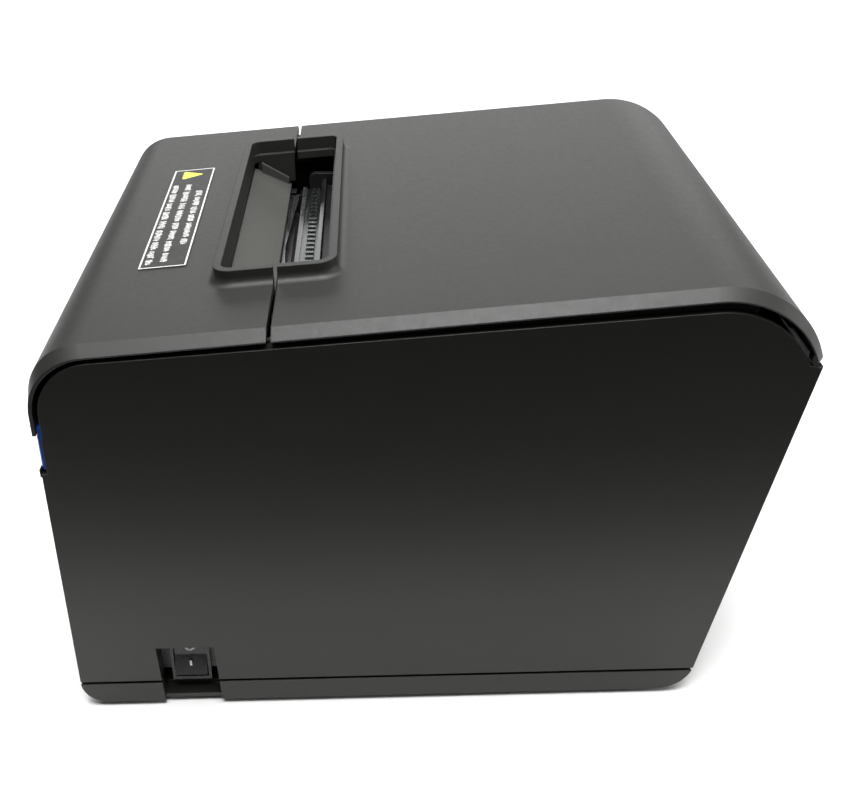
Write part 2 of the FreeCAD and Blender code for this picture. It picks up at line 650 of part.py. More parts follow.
def make_print_head():
    half = CHASSIS_HALF - 2.0
    plate = box(-half, half, HEAD_FACE_Y - 2.0, HEAD_FACE_Y, 75.2, 88.0)
    flex = box(-16, 16, HEAD_FACE_Y - 2.0, HEAD_FACE_Y - 0.8, 66.0, 76.0)
    plug = box(-16, 16, HEAD_FACE_Y - 2.0, HEAD_FACE_Y + 1.4, 63.7, 68.2)
    return fuse([plate, flex, plug])


def make_head_ribbon():
    """Flat ribbon cable from the head down to the main board."""
    path = [(HEAD_FACE_Y + 0.4, 63.6), (HEAD_FACE_Y + 0.4, 30.0), (BOARD_Y0 + 2.0, 14.6), (BOARD_Y0 + 4.0, 14.6),
            (BOARD_Y0 + 4.0, 14.2), (BOARD_Y0 + 1.8, 14.2), (HEAD_FACE_Y, 29.9), (HEAD_FACE_Y, 63.6)]
    return slab(path, -12, 12)


# ------------------------------------------------------------------ gears
def gear(teeth, module, y, z, phase, x0, x1, bore):
    """Straight-toothed gear about an X axis; phase is the direction of one tooth, in radians."""
    pitch_r = teeth * module / 2
    tip_r = pitch_r + 0.9 * module
    root_r = pitch_r - 1.2 * module
    points = []
    for i in range(teeth):
        centre = phase + 2 * math.pi * i / teeth
        for radius, half_width in ((root_r, -0.95), (tip_r, -0.28), (tip_r, 0.28), (root_r, 0.95)):
            angle = centre + half_width * module / radius
            points.append(V(x0, y + radius * math.cos(angle), z + radius * math.sin(angle)))
    points.append(points[0])
    wheel = Part.Face(Part.makePolygon(points)).extrude(V(x1 - x0, 0, 0))
    if bore > 0:
        wheel = wheel.cut(rod_x(y, z, bore, x0 - 1, x1 + 1))
    return wheel


def mated_phase(phase, r_first, r_second, teeth_second, direction, teeth_first):
    """Tooth direction of a second gear so that it meshes with the first."""
    step = 2 * math.pi / teeth_first
    offset = (phase - direction + step / 2) % step - step / 2
    return direction + math.pi - offset * r_first / r_second + math.pi / teeth_second


IDLER_PIN_R = 2.0
platen_pitch_r = PLATEN_TEETH * GEAR_M / 2
idler_pitch_r = IDLER_TEETH * GEAR_M / 2
feed_pitch_r = FEED_PINION_TEETH * GEAR_M / 2


def idler_place():
    """Centre of the idler, in mesh with the platen gear and the feed pinion."""
    to_motor = idler_pitch_r + feed_pitch_r + GEAR_ROOM
    to_platen = idler_pitch_r + platen_pitch_r + GEAR_ROOM
    dy = PLATEN_Y - FEED_MOTOR_Y
    dz = PLATEN_Z - FEED_MOTOR_Z
    span = math.hypot(dy, dz)
    along = (to_motor ** 2 - to_platen ** 2 + span ** 2) / (2 * span)
    aside = math.sqrt(to_motor ** 2 - along ** 2)
    return (FEED_MOTOR_Y + along * dy / span + aside * dz / span,
            FEED_MOTOR_Z + along * dz / span - aside * dy / span)


def direction_between(start, end):
    return math.atan2(end[1] - start[1], end[0] - start[0])


idler_phase = direction_between(idler_place(), (PLATEN_Y, PLATEN_Z))


def make_platen_gear():
    angle = idler_phase
    phase = mated_phase(angle, idler_pitch_r, platen_pitch_r, PLATEN_TEETH, angle, IDLER_TEETH)
    x1 = -GEAR_PLANE
    return gear(PLATEN_TEETH, GEAR_M, PLATEN_Y, PLATEN_Z, phase, x1 - GEAR_WIDTH, x1, SHAFT_R - 0.5)


def make_idler_gear():
    y, z = idler_place()
    x1 = -GEAR_PLANE
    wheel = gear(IDLER_TEETH, GEAR_M, y, z, idler_phase, x1 - GEAR_WIDTH, x1, IDLER_PIN_R + RUN_FIT)
    lighten = [rod_x(y + 11 * math.cos(a), z + 11 * math.sin(a), 3.4, x1 - 10, x1 + 1)
               for a in [math.pi * i / 3 for i in range(6)]]
    return cut(wheel, lighten)


def make_feed_pinion():
    y, z = idler_place()
    angle = direction_between((y, z), (FEED_MOTOR_Y, FEED_MOTOR_Z))
    phase = mated_phase(idler_phase, idler_pitch_r, feed_pitch_r, FEED_PINION_TEETH, angle, IDLER_TEETH)
    x1 = -GEAR_PLANE
    return gear(FEED_PINION_TEETH, GEAR_M, FEED_MOTOR_Y, FEED_MOTOR_Z, phase, x1 - GEAR_WIDTH, x1,
                MOTOR_SHAFT_R + RUN_FIT)


MOTOR_SHAFT_R = 1.5


def make_idler_pin():
    y, z = idler_place()
    pin = rod_x(y, z, IDLER_PIN_R, -GEAR_PLANE - GEAR_WIDTH - 1.6, -CHASSIS_HALF)
    return pin.fuse(rod_x(y, z, IDLER_PIN_R + 1.2, -GEAR_PLANE - GEAR_WIDTH - 1.6, -GEAR_PLANE - GEAR_WIDTH - 0.4))


# ------------------------------------------------------------------ motors
def make_feed_motor():
    half = FEED_MOTOR_SIZE / 2
    x0 = -CHASSIS_HALF + 0.0
    can = rounded_corners_x(FEED_MOTOR_Y, FEED_MOTOR_Z, half, 4.0, x0, x0 + FEED_MOTOR_LEN)
    boss = rod_x(FEED_MOTOR_Y, FEED_MOTOR_Z, 7.8, x0 - 1.0, x0)
    shaft = rod_x(FEED_MOTOR_Y, FEED_MOTOR_Z, MOTOR_SHAFT_R, -GEAR_PLANE - GEAR_WIDTH - 0.6, x0)
    return fuse([can, boss, shaft])


def rounded_corners_x(y, z, half, radius, x0, x1):
    return slab([(y - half, z - half, radius), (y + half, z - half, radius), (y + half, z + half, radius),
                 (y - half, z + half, radius)], x0, x1)


cut_gear_r = CUT_GEAR_TEETH * CUT_GEAR_M / 2
cut_motor_r = CUT_MOTOR_TEETH * CUT_GEAR_M / 2
cut_pinion_r = CUT_PINION_TEETH * CUT_PINION_M / 2


def cut_motor_z():
    return CUT_SHAFT_Z - cut_gear_r - cut_motor_r - GEAR_ROOM


def make_cutter_motor():
    x1 = CHASSIS_HALF
    z = cut_motor_z()
    can = rod_x(CUT_SHAFT_Y, z, 10.0, x1 - 28, x1).common(box(0, 60, 0, 60, z - 7.5, z + 7.5))
    boss = rod_x(CUT_SHAFT_Y, z, 4.0, x1, x1 + 1.0)
    shaft = rod_x(CUT_SHAFT_Y, z, MOTOR_SHAFT_R - 0.5, x1 + 1.0, CUT_GEAR_X + GEAR_WIDTH + 0.6)
    return fuse([can, boss, shaft])


CUT_GEAR_X = 47.0


def make_cutter_motor_pinion():
    phase = mated_phase(-math.pi / 2, cut_gear_r, cut_motor_r, CUT_MOTOR_TEETH, -math.pi / 2, CUT_GEAR_TEETH)
    return gear(CUT_MOTOR_TEETH, CUT_GEAR_M, CUT_SHAFT_Y, cut_motor_z(), phase, CUT_GEAR_X, CUT_GEAR_X + GEAR_WIDTH,
                MOTOR_SHAFT_R - 0.5 + RUN_FIT)


def make_cutter_gear():
    return gear(CUT_GEAR_TEETH, CUT_GEAR_M, CUT_SHAFT_Y, CUT_SHAFT_Z, -math.pi / 2, CUT_GEAR_X,
                CUT_GEAR_X + GEAR_WIDTH, CUT_SHAFT_R)


RACK_X0 = 30.0
RACK_X1 = 35.0


def make_cutter_shaft():
    shaft = rod_x(CUT_SHAFT_Y, CUT_SHAFT_Z, CUT_SHAFT_R, -CHASSIS_HALF - 2, CUT_GEAR_X + GEAR_WIDTH + 0.5)
    return shaft


def make_cutter_pinions():
    wheels = []
    for side in (-1, 1):
        x0, x1 = both_ways(side, RACK_X0, RACK_X1)
        wheels.append(gear(CUT_PINION_TEETH, CUT_PINION_M, CUT_SHAFT_Y, CUT_SHAFT_Z, math.pi / 2, x0, x1,
                           CUT_SHAFT_R))
    return Part.makeCompound(wheels)


# ------------------------------------------------------------------ cutter
CARRIAGE_HALF = 40.5
CARRIAGE_Y0 = 20.0
CARRIAGE_Y1 = 43.0


def make_blade_carriage():
    """Sliding carriage under the blade, with a rack on each side."""
    z1 = BLADE_TOP - BLADE_T
    z0 = z1 - CARRIAGE_T
    plate = box(-CARRIAGE_HALF, CARRIAGE_HALF, CARRIAGE_Y0, CARRIAGE_Y1, z0 + 1.0, z1)
    pitch_z = CUT_SHAFT_Z + cut_pinion_r + GEAR_ROOM
    racks = []
    for side in (-1, 1):
        x0, x1 = both_ways(side, RACK_X0 - 0.3, RACK_X1 + 0.3)
        racks.append(rack(pitch_z, z0 + 1.2, x0, x1))
    windows = [box(x, x + 14, CARRIAGE_Y0 + 5, CARRIAGE_Y1 - 6, z0, z1 + 1) for x in (-24, -7, 10)]
    return cut(fuse([plate] + racks), windows)


def rack(pitch_z, z1, x0, x1):
    """Toothed bar: its gaps line up with the pinion's top tooth."""
    pitch = math.pi * CUT_PINION_M
    root_z = pitch_z + 1.2 * CUT_PINION_M
    tip_z = pitch_z - 0.9 * CUT_PINION_M
    bar = box(x0, x1, CUT_SHAFT_Y - 9.4, CUT_SHAFT_Y + 3 * pitch + 0.8, min(root_z, z1 - 0.2), z1)
    teeth = []
    for i in range(-3, 3):
        y = CUT_SHAFT_Y + (i + 0.5) * pitch
        teeth.append(slab([(y - 1.0, root_z + 0.1), (y - 0.3, tip_z), (y + 0.3, tip_z), (y + 1.0, root_z + 0.1)],
                          x0, x1))
    return fuse([bar] + teeth)


def make_moving_blade():
    """Thin steel blade with a shallow V edge."""
    z0 = BLADE_TOP - BLADE_T
    half = CARRIAGE_HALF - 0.5
    base = CARRIAGE_Y0 + 6
    edge = [V(-half, base, z0), V(half, base, z0), V(half, BLADE_HOME_Y, z0), (V(0, BLADE_HOME_Y - 2.0, z0)),
            V(-half, BLADE_HOME_Y, z0), V(-half, base, z0)]
    return Part.Face(Part.makePolygon(edge)).extrude(V(0, 0, BLADE_T))


def make_cutter_guide():
    """Channels that hold the carriage at both ends, joined across the front."""
    z0 = BLADE_TOP - BLADE_T - CARRIAGE_T + 0.6
    rails = []
    for side in (-1, 1):
        x0, x1 = both_ways(side, CARRIAGE_HALF + 0.3, CHASSIS_HALF)
        rails.append(box(x0, x1, 12.5, 53.0, z0 - 1.5, BLADE_TOP + 0.6))
    bar = box(-CHASSIS_HALF, CHASSIS_HALF, 10.5, 13.5, z0 - 1.5, BLADE_TOP + 0.6)
    return fuse(rails + [bar])


def make_fixed_blade():
    """Counter blade on the lid: a bright upright strip behind the paper slot."""
    return box(-PLATEN_HALF, PLATEN_HALF, 55.3, 56.5, BLADE_TOP + 0.1, top_z(55.3) - 9.6)


def make_blade_bracket():
    """Steel channel of the lid that carries the counter blade."""
    z0 = BLADE_TOP + 0.6
    floor = box(-PLATEN_HALF, PLATEN_HALF, 56.5, 62.2, z0, z0 + 1.0)
    wall = box(-PLATEN_HALF, PLATEN_HALF, 61.2, 62.2, z0, top_z(62) - 7.6)
    teeth = [box(x, x + 1.2, 58.0, 60.2, z0 + 0.9, z0 + 2.0) for x in [-39 + 3.0 * i for i in range(26)]]
    return fuse([floor, wall] + teeth)


# ------------------------------------------------------------------ platen and its holder
def make_platen_rubber():
    tube = rod_x(PLATEN_Y, PLATEN_Z, PLATEN_R, -PLATEN_HALF, PLATEN_HALF)
    return tube.cut(rod_x(PLATEN_Y, PLATEN_Z, SHAFT_R, -60, 60))


def make_platen_shaft():
    core = rod_x(PLATEN_Y, PLATEN_Z, SHAFT_R, -GEAR_PLANE + 0.3, GEAR_PLANE - 0.4)
    stub = rod_x(PLATEN_Y, PLATEN_Z, SHAFT_R - 0.5, -GEAR_PLANE - GEAR_WIDTH - 0.4, -GEAR_PLANE + 0.3)
    return core.fuse(stub)


def make_platen_bushings():
    bushes = []
    for side in (-1, 1):
        x0, x1 = both_ways(side, CHASSIS_HALF - 0.8, HOOK_PLANE + HOOK_T + 0.2)
        bush = rod_x(PLATEN_Y, PLATEN_Z, BUSH_R, x0, x1)
        bushes.append(bush.cut(rod_x(PLATEN_Y, PLATEN_Z, SHAFT_R + RUN_FIT, x0 - 1, x1 + 1)))
    return Part.makeCompound(bushes)


def make_platen_holder():
    """Inner moulding of the lid: cheeks to the platen ends and a cross web under the skin."""
    cheeks = []
    for side in (-1, 1):
        x0, x1 = both_ways(side, PLATEN_HALF + SIDE_FIT, CHASSIS_HALF - 0.8)
        cheeks.append(slab([(57.5, 82, 2), (69.5, 82, 2), (73.0, 98, 1), (73.0, top_z(73) - COVER_SKIN - 0.1),
                            (66.2, top_z(66.2) - COVER_SKIN - 0.1), (66.2, 101, 1), (57.0, 101, 2)], x0, x1))
    web = slab([(68.7, 97), (70.7, 97), (70.7, top_z(70) - COVER_SKIN - 0.1),
                (68.7, top_z(68.2) - COVER_SKIN - 0.1)], -CHASSIS_HALF + 0.8, CHASSIS_HALF - 0.8)
    shelf = box(-CHASSIS_HALF + 0.8, CHASSIS_HALF - 0.8, 62.4, 70.7, BLADE_TOP + 1.2, BLADE_TOP + 2.4)
    holder = fuse(cheeks + [web, shelf])
    return cut(holder, [rod_x(PLATEN_Y, PLATEN_Z, SHAFT_R + RUN_FIT, -60, 60)])


# ------------------------------------------------------------------ latch and release
def make_latch_shaft():
    return rod_x(LATCH_Y, LATCH_Z, LATCH_SHAFT_R, -HOOK_PLANE - HOOK_T, ARM_X1)


ARM_X0 = 47.0
ARM_X1 = 50.0


def make_latch_hook(side):
    """Hook that closes over one platen bushing."""
    x0, x1 = both_ways(side, HOOK_PLANE, HOOK_PLANE + HOOK_T)
    nose_z = PLATEN_Z + BUSH_R + 0.2
    hook = slab([(LATCH_Y - 4, LATCH_Z - 4, 2), (LATCH_Y + 4, LATCH_Z - 4, 2), (LATCH_Y + 4, LATCH_Z + 3, 2),
                 (LATCH_Y - 0.9, LATCH_Z + 10, 2), (LATCH_Y - 0.9, nose_z), (PLATEN_Y + 0.4, nose_z),
                 (PLATEN_Y + 0.4, nose_z + 1.2, 0.4), (LATCH_Y - 3.6, nose_z + 4.0, 1.5),
                 (LATCH_Y - 4.0, LATCH_Z + 6, 2)], x0, x1)
    return hook.cut(rod_x(LATCH_Y, LATCH_Z, LATCH_SHAFT_R, x0 - 1, x1 + 1))


def make_latch_arm():
    arm = slab([(LATCH_Y - 3.4, LATCH_Z + 3.4, 2.6), (LATCH_Y - 1.6, LATCH_Z - ARM_REACH - 2, 1),
                (LATCH_Y + 1.6, LATCH_Z - ARM_REACH - 2, 1), (LATCH_Y + 3.4, LATCH_Z + 3.4, 2.6)], ARM_X0, ARM_X1)
    return arm.cut(rod_x(LATCH_Y, LATCH_Z, LATCH_SHAFT_R, ARM_X0 - 1, ARM_X1 + 1))


def make_latch_spring():
    """Torsion spring around the latch shaft, between the chassis plates."""
    rings = [rod_x(LATCH_Y, LATCH_Z, 3.4, x, x + 0.7) for x in [34 + 0.7 * i for i in range(9)]]
    leg = box(38.8, 39.6, LATCH_Y - 0.4, LATCH_Y + 12.0, LATCH_Z - 3.3, LATCH_Z - 2.5)
    return cut(fuse(rings + [leg]), [rod_x(LATCH_Y, LATCH_Z, 2.6, 30, 44)])


def make_release_button():
    """Blue button at the front corner, behind the side wall's thinned edge."""
    gap = 0.15
    block = rounded_front(BUTTON_X0 + gap, HALF - BUTTON_SKIN - gap, 0.0, WALL + 2, BUTTON_Z0 + gap,
                          BUTTON_Z1 - gap, 1.0)
    rim = [e for e in block.Edges if e.BoundBox.YMax < 0.01]
    block = block.makeFillet(0.6, rim)
    x1 = HALF - BUTTON_SKIN - gap
    shade = box(x1 - 2.6, x1, SKIRT_FRONT + gap, WALL + 2, BUTTON_Z1 - 3, COVER_LOW + BUTTON_RISE)
    return block.fuse(shade).removeSplitter()


def make_release_slide():
    plate = box(BUTTON_X0 + 1, HALF - WALL - 1.5, WALL + 2, WALL + 5, LATCH_Z - ARM_REACH - 1.5, BUTTON_Z1 - 1)
    rail = box(BUTTON_X0 + 1, BUTTON_X0 + 4, WALL + 2, LATCH_Y - 2.4, LATCH_Z - ARM_REACH - 1.5,
               LATCH_Z - ARM_REACH + 2.5)
    finger = box(ARM_X0 + 0.4, BUTTON_X0 + 4, LATCH_Y - 5.4, LATCH_Y - 2.4, LATCH_Z - ARM_REACH - 1.5,
                 LATCH_Z - ARM_REACH + 0.8)
    return fuse([plate, rail, finger])


# ------------------------------------------------------------------ power switch
def make_switch_body():
    flange = box(SWITCH_FACE_X, SWITCH_FACE_X + 1.2, SWITCH_Y - 5.0, SWITCH_Y + 5.0, SWITCH_Z - 7.5, SWITCH_Z + 7.5)
    case = box(SWITCH_FACE_X - 11, SWITCH_FACE_X, SWITCH_Y - 4.3, SWITCH_Y + 4.3, SWITCH_Z - 6.8, SWITCH_Z + 6.8)
    tabs = [box(SWITCH_FACE_X - 17, SWITCH_FACE_X - 11, SWITCH_Y - 2.4, SWITCH_Y + 2.4, z, z + 0.8)
            for z in (SWITCH_Z - 4, SWITCH_Z + 3.2)]
    room = box(SWITCH_FACE_X - 5.5, SWITCH_FACE_X + 2, SWITCH_Y - ROCKER_W / 2 - 0.15, SWITCH_Y + ROCKER_W / 2 + 0.15,
               SWITCH_Z - ROCKER_L / 2 - 0.35, SWITCH_Z + ROCKER_L / 2 + 0.35)
    return cut(fuse([flange, case] + tabs), [room])


def rocker_pivot_x():
    return SWITCH_FACE_X - 1.8


def make_switch_rocker():
    """Rocker with a dished face, lying at rest with its upper half pressed in."""
    x = rocker_pivot_x()
    half = ROCKER_L / 2
    face = 2.2
    rise = half * math.tan(math.radians(ROCKER_TILT))
    profile = [V(x + face + rise, 0, SWITCH_Z - half + 0.5), V(x + face, 0, SWITCH_Z),
               V(x + face + rise, 0, SWITCH_Z + half - 0.5), V(x + 0.2, 0, SWITCH_Z + half - 0.9),
               V(x - 2.2, 0, SWITCH_Z), V(x + 0.2, 0, SWITCH_Z - half + 0.9)]
    wire = Part.makePolygon(profile + [profile[0]])
    rocker = Part.Face(wire).extrude(V(0, ROCKER_W, 0))
    rocker.translate(V(0, SWITCH_Y - ROCKER_W / 2, 0))
    rocker.rotate(V(x, SWITCH_Y, SWITCH_Z), V(0, 1, 0), -ROCKER_TILT)
    return rocker


# ------------------------------------------------------------------ front panel
def make_status_panel():
    gap = 0.15
    plate = rounded_front(-PANEL_HALF + gap, PANEL_HALF - gap, 0.2, 1.8, PANEL_Z0 + gap, PANEL_Z1 - gap, 2.9)
    back = rounded_front(-PANEL_HALF - 2, PANEL_HALF + 2, WALL, WALL + 1.2, PANEL_Z0 - 2, PANEL_Z1 + 2, 3.0)
    panel = fuse([plate, rounded_front(-PANEL_HALF + gap, PANEL_HALF - gap, 1.0, WALL + 0.5, PANEL_Z0 + gap,
                                       PANEL_Z1 - gap, 2.9), back])
    z = (PANEL_Z0 + PANEL_Z1) / 2
    key = rounded_front(FEED_KEY_X - KEY_W / 2 - 0.25, FEED_KEY_X + KEY_W / 2 + 0.25, -1, WALL + 3,
                        z - KEY_H / 2 - 0.25, z + KEY_H / 2 + 0.25, 2.2)
    lamps = [rod_y(x, z, 1.5, -1, WALL + 3) for x in lamp_places()]
    return cut(panel, [key] + lamps)


def lamp_places():
    return [-18.0 + LAMP_PITCH * i for i in range(3)]


def make_light_pipes():
    z = (PANEL_Z0 + PANEL_Z1) / 2
    return Part.makeCompound([rod_y(x, z, 1.45, 0.1, WALL + 2.6) for x in lamp_places()])


def make_feed_key():
    z = (PANEL_Z0 + PANEL_Z1) / 2
    cap = rounded_front(FEED_KEY_X - KEY_W / 2, FEED_KEY_X + KEY_W / 2, -0.6, WALL + 1.4, z - KEY_H / 2,
                        z + KEY_H / 2, 2.0)
    flange = box(FEED_KEY_X - KEY_W / 2 - 1, FEED_KEY_X + KEY_W / 2 + 1, WALL + 1.4, WALL + 2.0, z - KEY_H / 2 - 1,
                 z + KEY_H / 2 + 1)
    return fuse([cap, flange])


def make_key_board():
    y = WALL + 5.6
    z = (PANEL_Z0 + PANEL_Z1) / 2
    board = box(-PANEL_HALF, PANEL_HALF, y, y + 1.2, PANEL_Z0 + 1, PANEL_Z1 - 1)
    tact = box(FEED_KEY_X - 3, FEED_KEY_X + 3, y - 2.6, y, z - 3, z + 3)
    leds = [box(x - 1, x + 1, y - 0.8, y, z - 1, z + 1) for x in lamp_places()]
    return fuse([board, tact] + leds)


# ------------------------------------------------------------------ board and sockets
SOCKET_ROWS = (("power_socket", -43.0, 13.0, 12.5), ("drawer_socket", -25.5, 13.0, 12.0),
               ("usb_socket", -8.5, 12.0, 11.0), ("network_socket", 10.0, 16.0, 13.5),
               ("serial_socket", 36.0, 31.0, 12.5))
SOCKET_DEPTH = 14.0


def make_main_board():
    board = box(-60, 60, BOARD_Y0, BAY_FACE_Y - 2.6, BOARD_Z, BOARD_Z + BOARD_T)
    top = BOARD_Z + BOARD_T
    chips = [box(48, 58, 84, 94, top, top + 1.6), box(-58, -48, 80, 88, top, top + 1.2),
             box(-13, 13, BOARD_Y0 + 3.6, BOARD_Y0 + 6.4, top, top + 3.4)]
    cans = [rod_z(x, y, 4.0, top, top + 11.0) for x, y in ((-52, 100), (-52, 110), (52, 108))]
    holes = [rod_z(x, y, 1.6, 0, 20) for x in (-56, 56) for y in (BOARD_Y0 + 6, 134)]
    return cut(fuse([board] + chips + cans), holes)


def make_socket(x, width, height):
    """Plain block for one socket, open to the back."""
    z0 = BOARD_Z + BOARD_T
    block = box(x - width / 2, x + width / 2, BAY_FACE_Y - SOCKET_DEPTH, BAY_FACE_Y + 0.6, z0, z0 + height)
    room = box(x - width / 2 + 1.4, x + width / 2 - 1.4, BAY_FACE_Y - 9.0, BAY_FACE_Y + 2, z0 + 1.4, z0 + height - 1.4)
    return block, room


def make_box_socket(x, width, height, tongue):
    block, room = make_socket(x, width, height)
    z = BOARD_Z + BOARD_T + height / 2
    bar = box(x - tongue / 2, x + tongue / 2, BAY_FACE_Y - 9.5, BAY_FACE_Y - 1.5, z - 1.0, z + 1.0)
    return block.cut(room).fuse(bar)


def make_power_socket(x, width, height):
    z = BOARD_Z + BOARD_T + height / 2
    block = box(x - width / 2, x + width / 2, BAY_FACE_Y - SOCKET_DEPTH, BAY_FACE_Y + 0.6,
                BOARD_Z + BOARD_T, BOARD_Z + BOARD_T + height)
    block = block.cut(rod_y(x, z, 4.8, BAY_FACE_Y - 9.0, BAY_FACE_Y + 2))
    pins = [rod_y(x + 2.6 * math.cos(a), z + 2.6 * math.sin(a), 0.5, BAY_FACE_Y - 9.5, BAY_FACE_Y - 1.5)
            for a in (math.pi / 2, math.pi * 7 / 6, math.pi * 11 / 6)]
    return fuse([block] + pins)


def make_serial_socket(x, width, height):
    z = BOARD_Z + BOARD_T + height / 2
    block = box(x - width / 2, x + width / 2, BAY_FACE_Y - SOCKET_DEPTH, BAY_FACE_Y + 0.2,
                BOARD_Z + BOARD_T, BOARD_Z + BOARD_T + height)
    shell = rounded_front(x - 8.5, x + 8.5, BAY_FACE_Y + 0.2, BAY_FACE_Y + 5.0, z - 4.2, z + 4.2, 2.0)
    shell = shell.cut(rounded_front(x - 8.0, x + 8.0, BAY_FACE_Y + 0.8, BAY_FACE_Y + 6.0, z - 3.7, z + 3.7, 1.6))
    core = rounded_front(x - 7.0, x + 7.0, BAY_FACE_Y + 0.2, BAY_FACE_Y + 4.0, z - 2.8, z + 2.8, 1.2)
    posts = [rod_y(x + s * 12.5, z, 2.4, BAY_FACE_Y + 0.2, BAY_FACE_Y + 4.6) for s in (-1, 1)]
    return fuse([block, shell, core] + posts)


def make_socket_panel():
    """Upright panel at the bottom of the back, cut out for each socket."""
    plate = box(-BAY_HALF - 2, BAY_HALF + 2, BAY_FACE_Y - 1.6, BAY_FACE_Y, TRAY_HEIGHT - 0.5, BAY_Z1 + 2.4)
    roof = slab([(BAY_FACE_Y - 1.6, BAY_Z1 - 0.3), (back_inner(BAY_Z1) + 2.0, BAY_Z1 - 0.3),
                 (back_inner(BAY_Z1) + 2.0, BAY_Z1 - 1.5), (BAY_FACE_Y - 1.6, BAY_Z1 - 1.5)], -BAY_HALF + 0.2,
                BAY_HALF - 0.2)
    holes = []
    for _, x, width, height in SOCKET_ROWS:
        z0 = BOARD_Z + BOARD_T
        holes.append(box(x - width / 2 - 0.15, x + width / 2 + 0.15, BAY_FACE_Y - 3, BAY_FACE_Y + 1, z0 - 0.15,
                         z0 + height + 0.15))
    return cut(fuse([plate, roof]), holes)


def back_inner(z):
    return BASE_DEPTH + tan_back * z - WALL / cos_back


def make_buzzer():
    z = BOARD_Z + BOARD_T
    return rod_z(40, 76, 6.0, z, z + 8.5).cut(rod_z(40, 76, 1.0, z + 6, z + 10))


# ------------------------------------------------------------------ fasteners
def screw(x, y, z, radius, length):
    """Pan-head screw standing on a face at height z."""
    head = rod_z(x, y, radius * 1.8, z, z + radius * 1.1)
    shank = rod_z(x, y, radius, z - length, z)
    cross = [box(x - radius, x + radius, y - 0.3, y + 0.3, z + radius * 0.5, z + radius * 2),
             box(x - 0.3, x + 0.3, y - radius, y + radius, z + radius * 0.5, z + radius * 2)]
    return cut(head.fuse(shank), cross)


def make_chassis_screws():
    return Part.makeCompound([screw(x, y, CHASSIS_Z + PLATE_T, 1.5, PLATE_T) for x in POST_X for y in POST_Y])


def make_board_screws():
    return Part.makeCompound([screw(x, y, BOARD_Z + BOARD_T, 1.5, BOARD_T)
                              for x in (-56, 56) for y in (BOARD_Y0 + 6, 134)])


def make_label():
    y0 = along_top(LABEL_Y0)
    y1 = along_top(LABEL_Y1)
    plate = rounded_plate(LABEL_X0, LABEL_X1, y0, y1, 0.8, 0.0, LABEL_T)
    plate.rotate(V((LABEL_X0 + LABEL_X1) / 2, (y0 + y1) / 2, 0), V(0, 0, 1), LABEL_TURN)
    return on_top(plate)


def make_exit_plate():
    """Sloping grey guide between the collar's front wall and the paper slot."""
    half = COLLAR_WIDTH / 2 - COLLAR_RIM - LEDGE
    y0 = COLLAR_FRONT_Y + COLLAR_RIM + 0.1
    high = top_z(y0) - EXIT_HIGH_DROP
    low = top_z(EXIT_REAR_Y) - EXIT_LOW_DROP
    plate = slab([(y0, high), (EXIT_REAR_Y, low), (EXIT_REAR_Y, low - EXIT_PLATE), (y0, high - EXIT_PLATE)],
                 -half, half)
    rib = slab([(y0 + 2.2, high + 2.0), (EXIT_REAR_Y - 0.6, low + 2.3), (EXIT_REAR_Y - 0.6, low - 1),
                (y0 + 2.2, high - 2.0)], half - 1.4, half - 0.2)
    return fuse([plate, rib, mirrored(rib)])


# ------------------------------------------------------------------ writing
def middle_y():
    return (rear_reach() - COVER_PROUD) / 2


def write_node(name, shape):
    placed = shape.copy()
    placed.translate(V(0, -middle_y(), FOOT_OUT))
    solids = placed.Solids
    if not solids:
        raise ValueError("no solid in " + name)
    if len(solids) == 1:
        placed = solids[0]
    else:
        placed = Part.makeCompound(solids)
    placed.exportStep("parts/" + name + ".step")


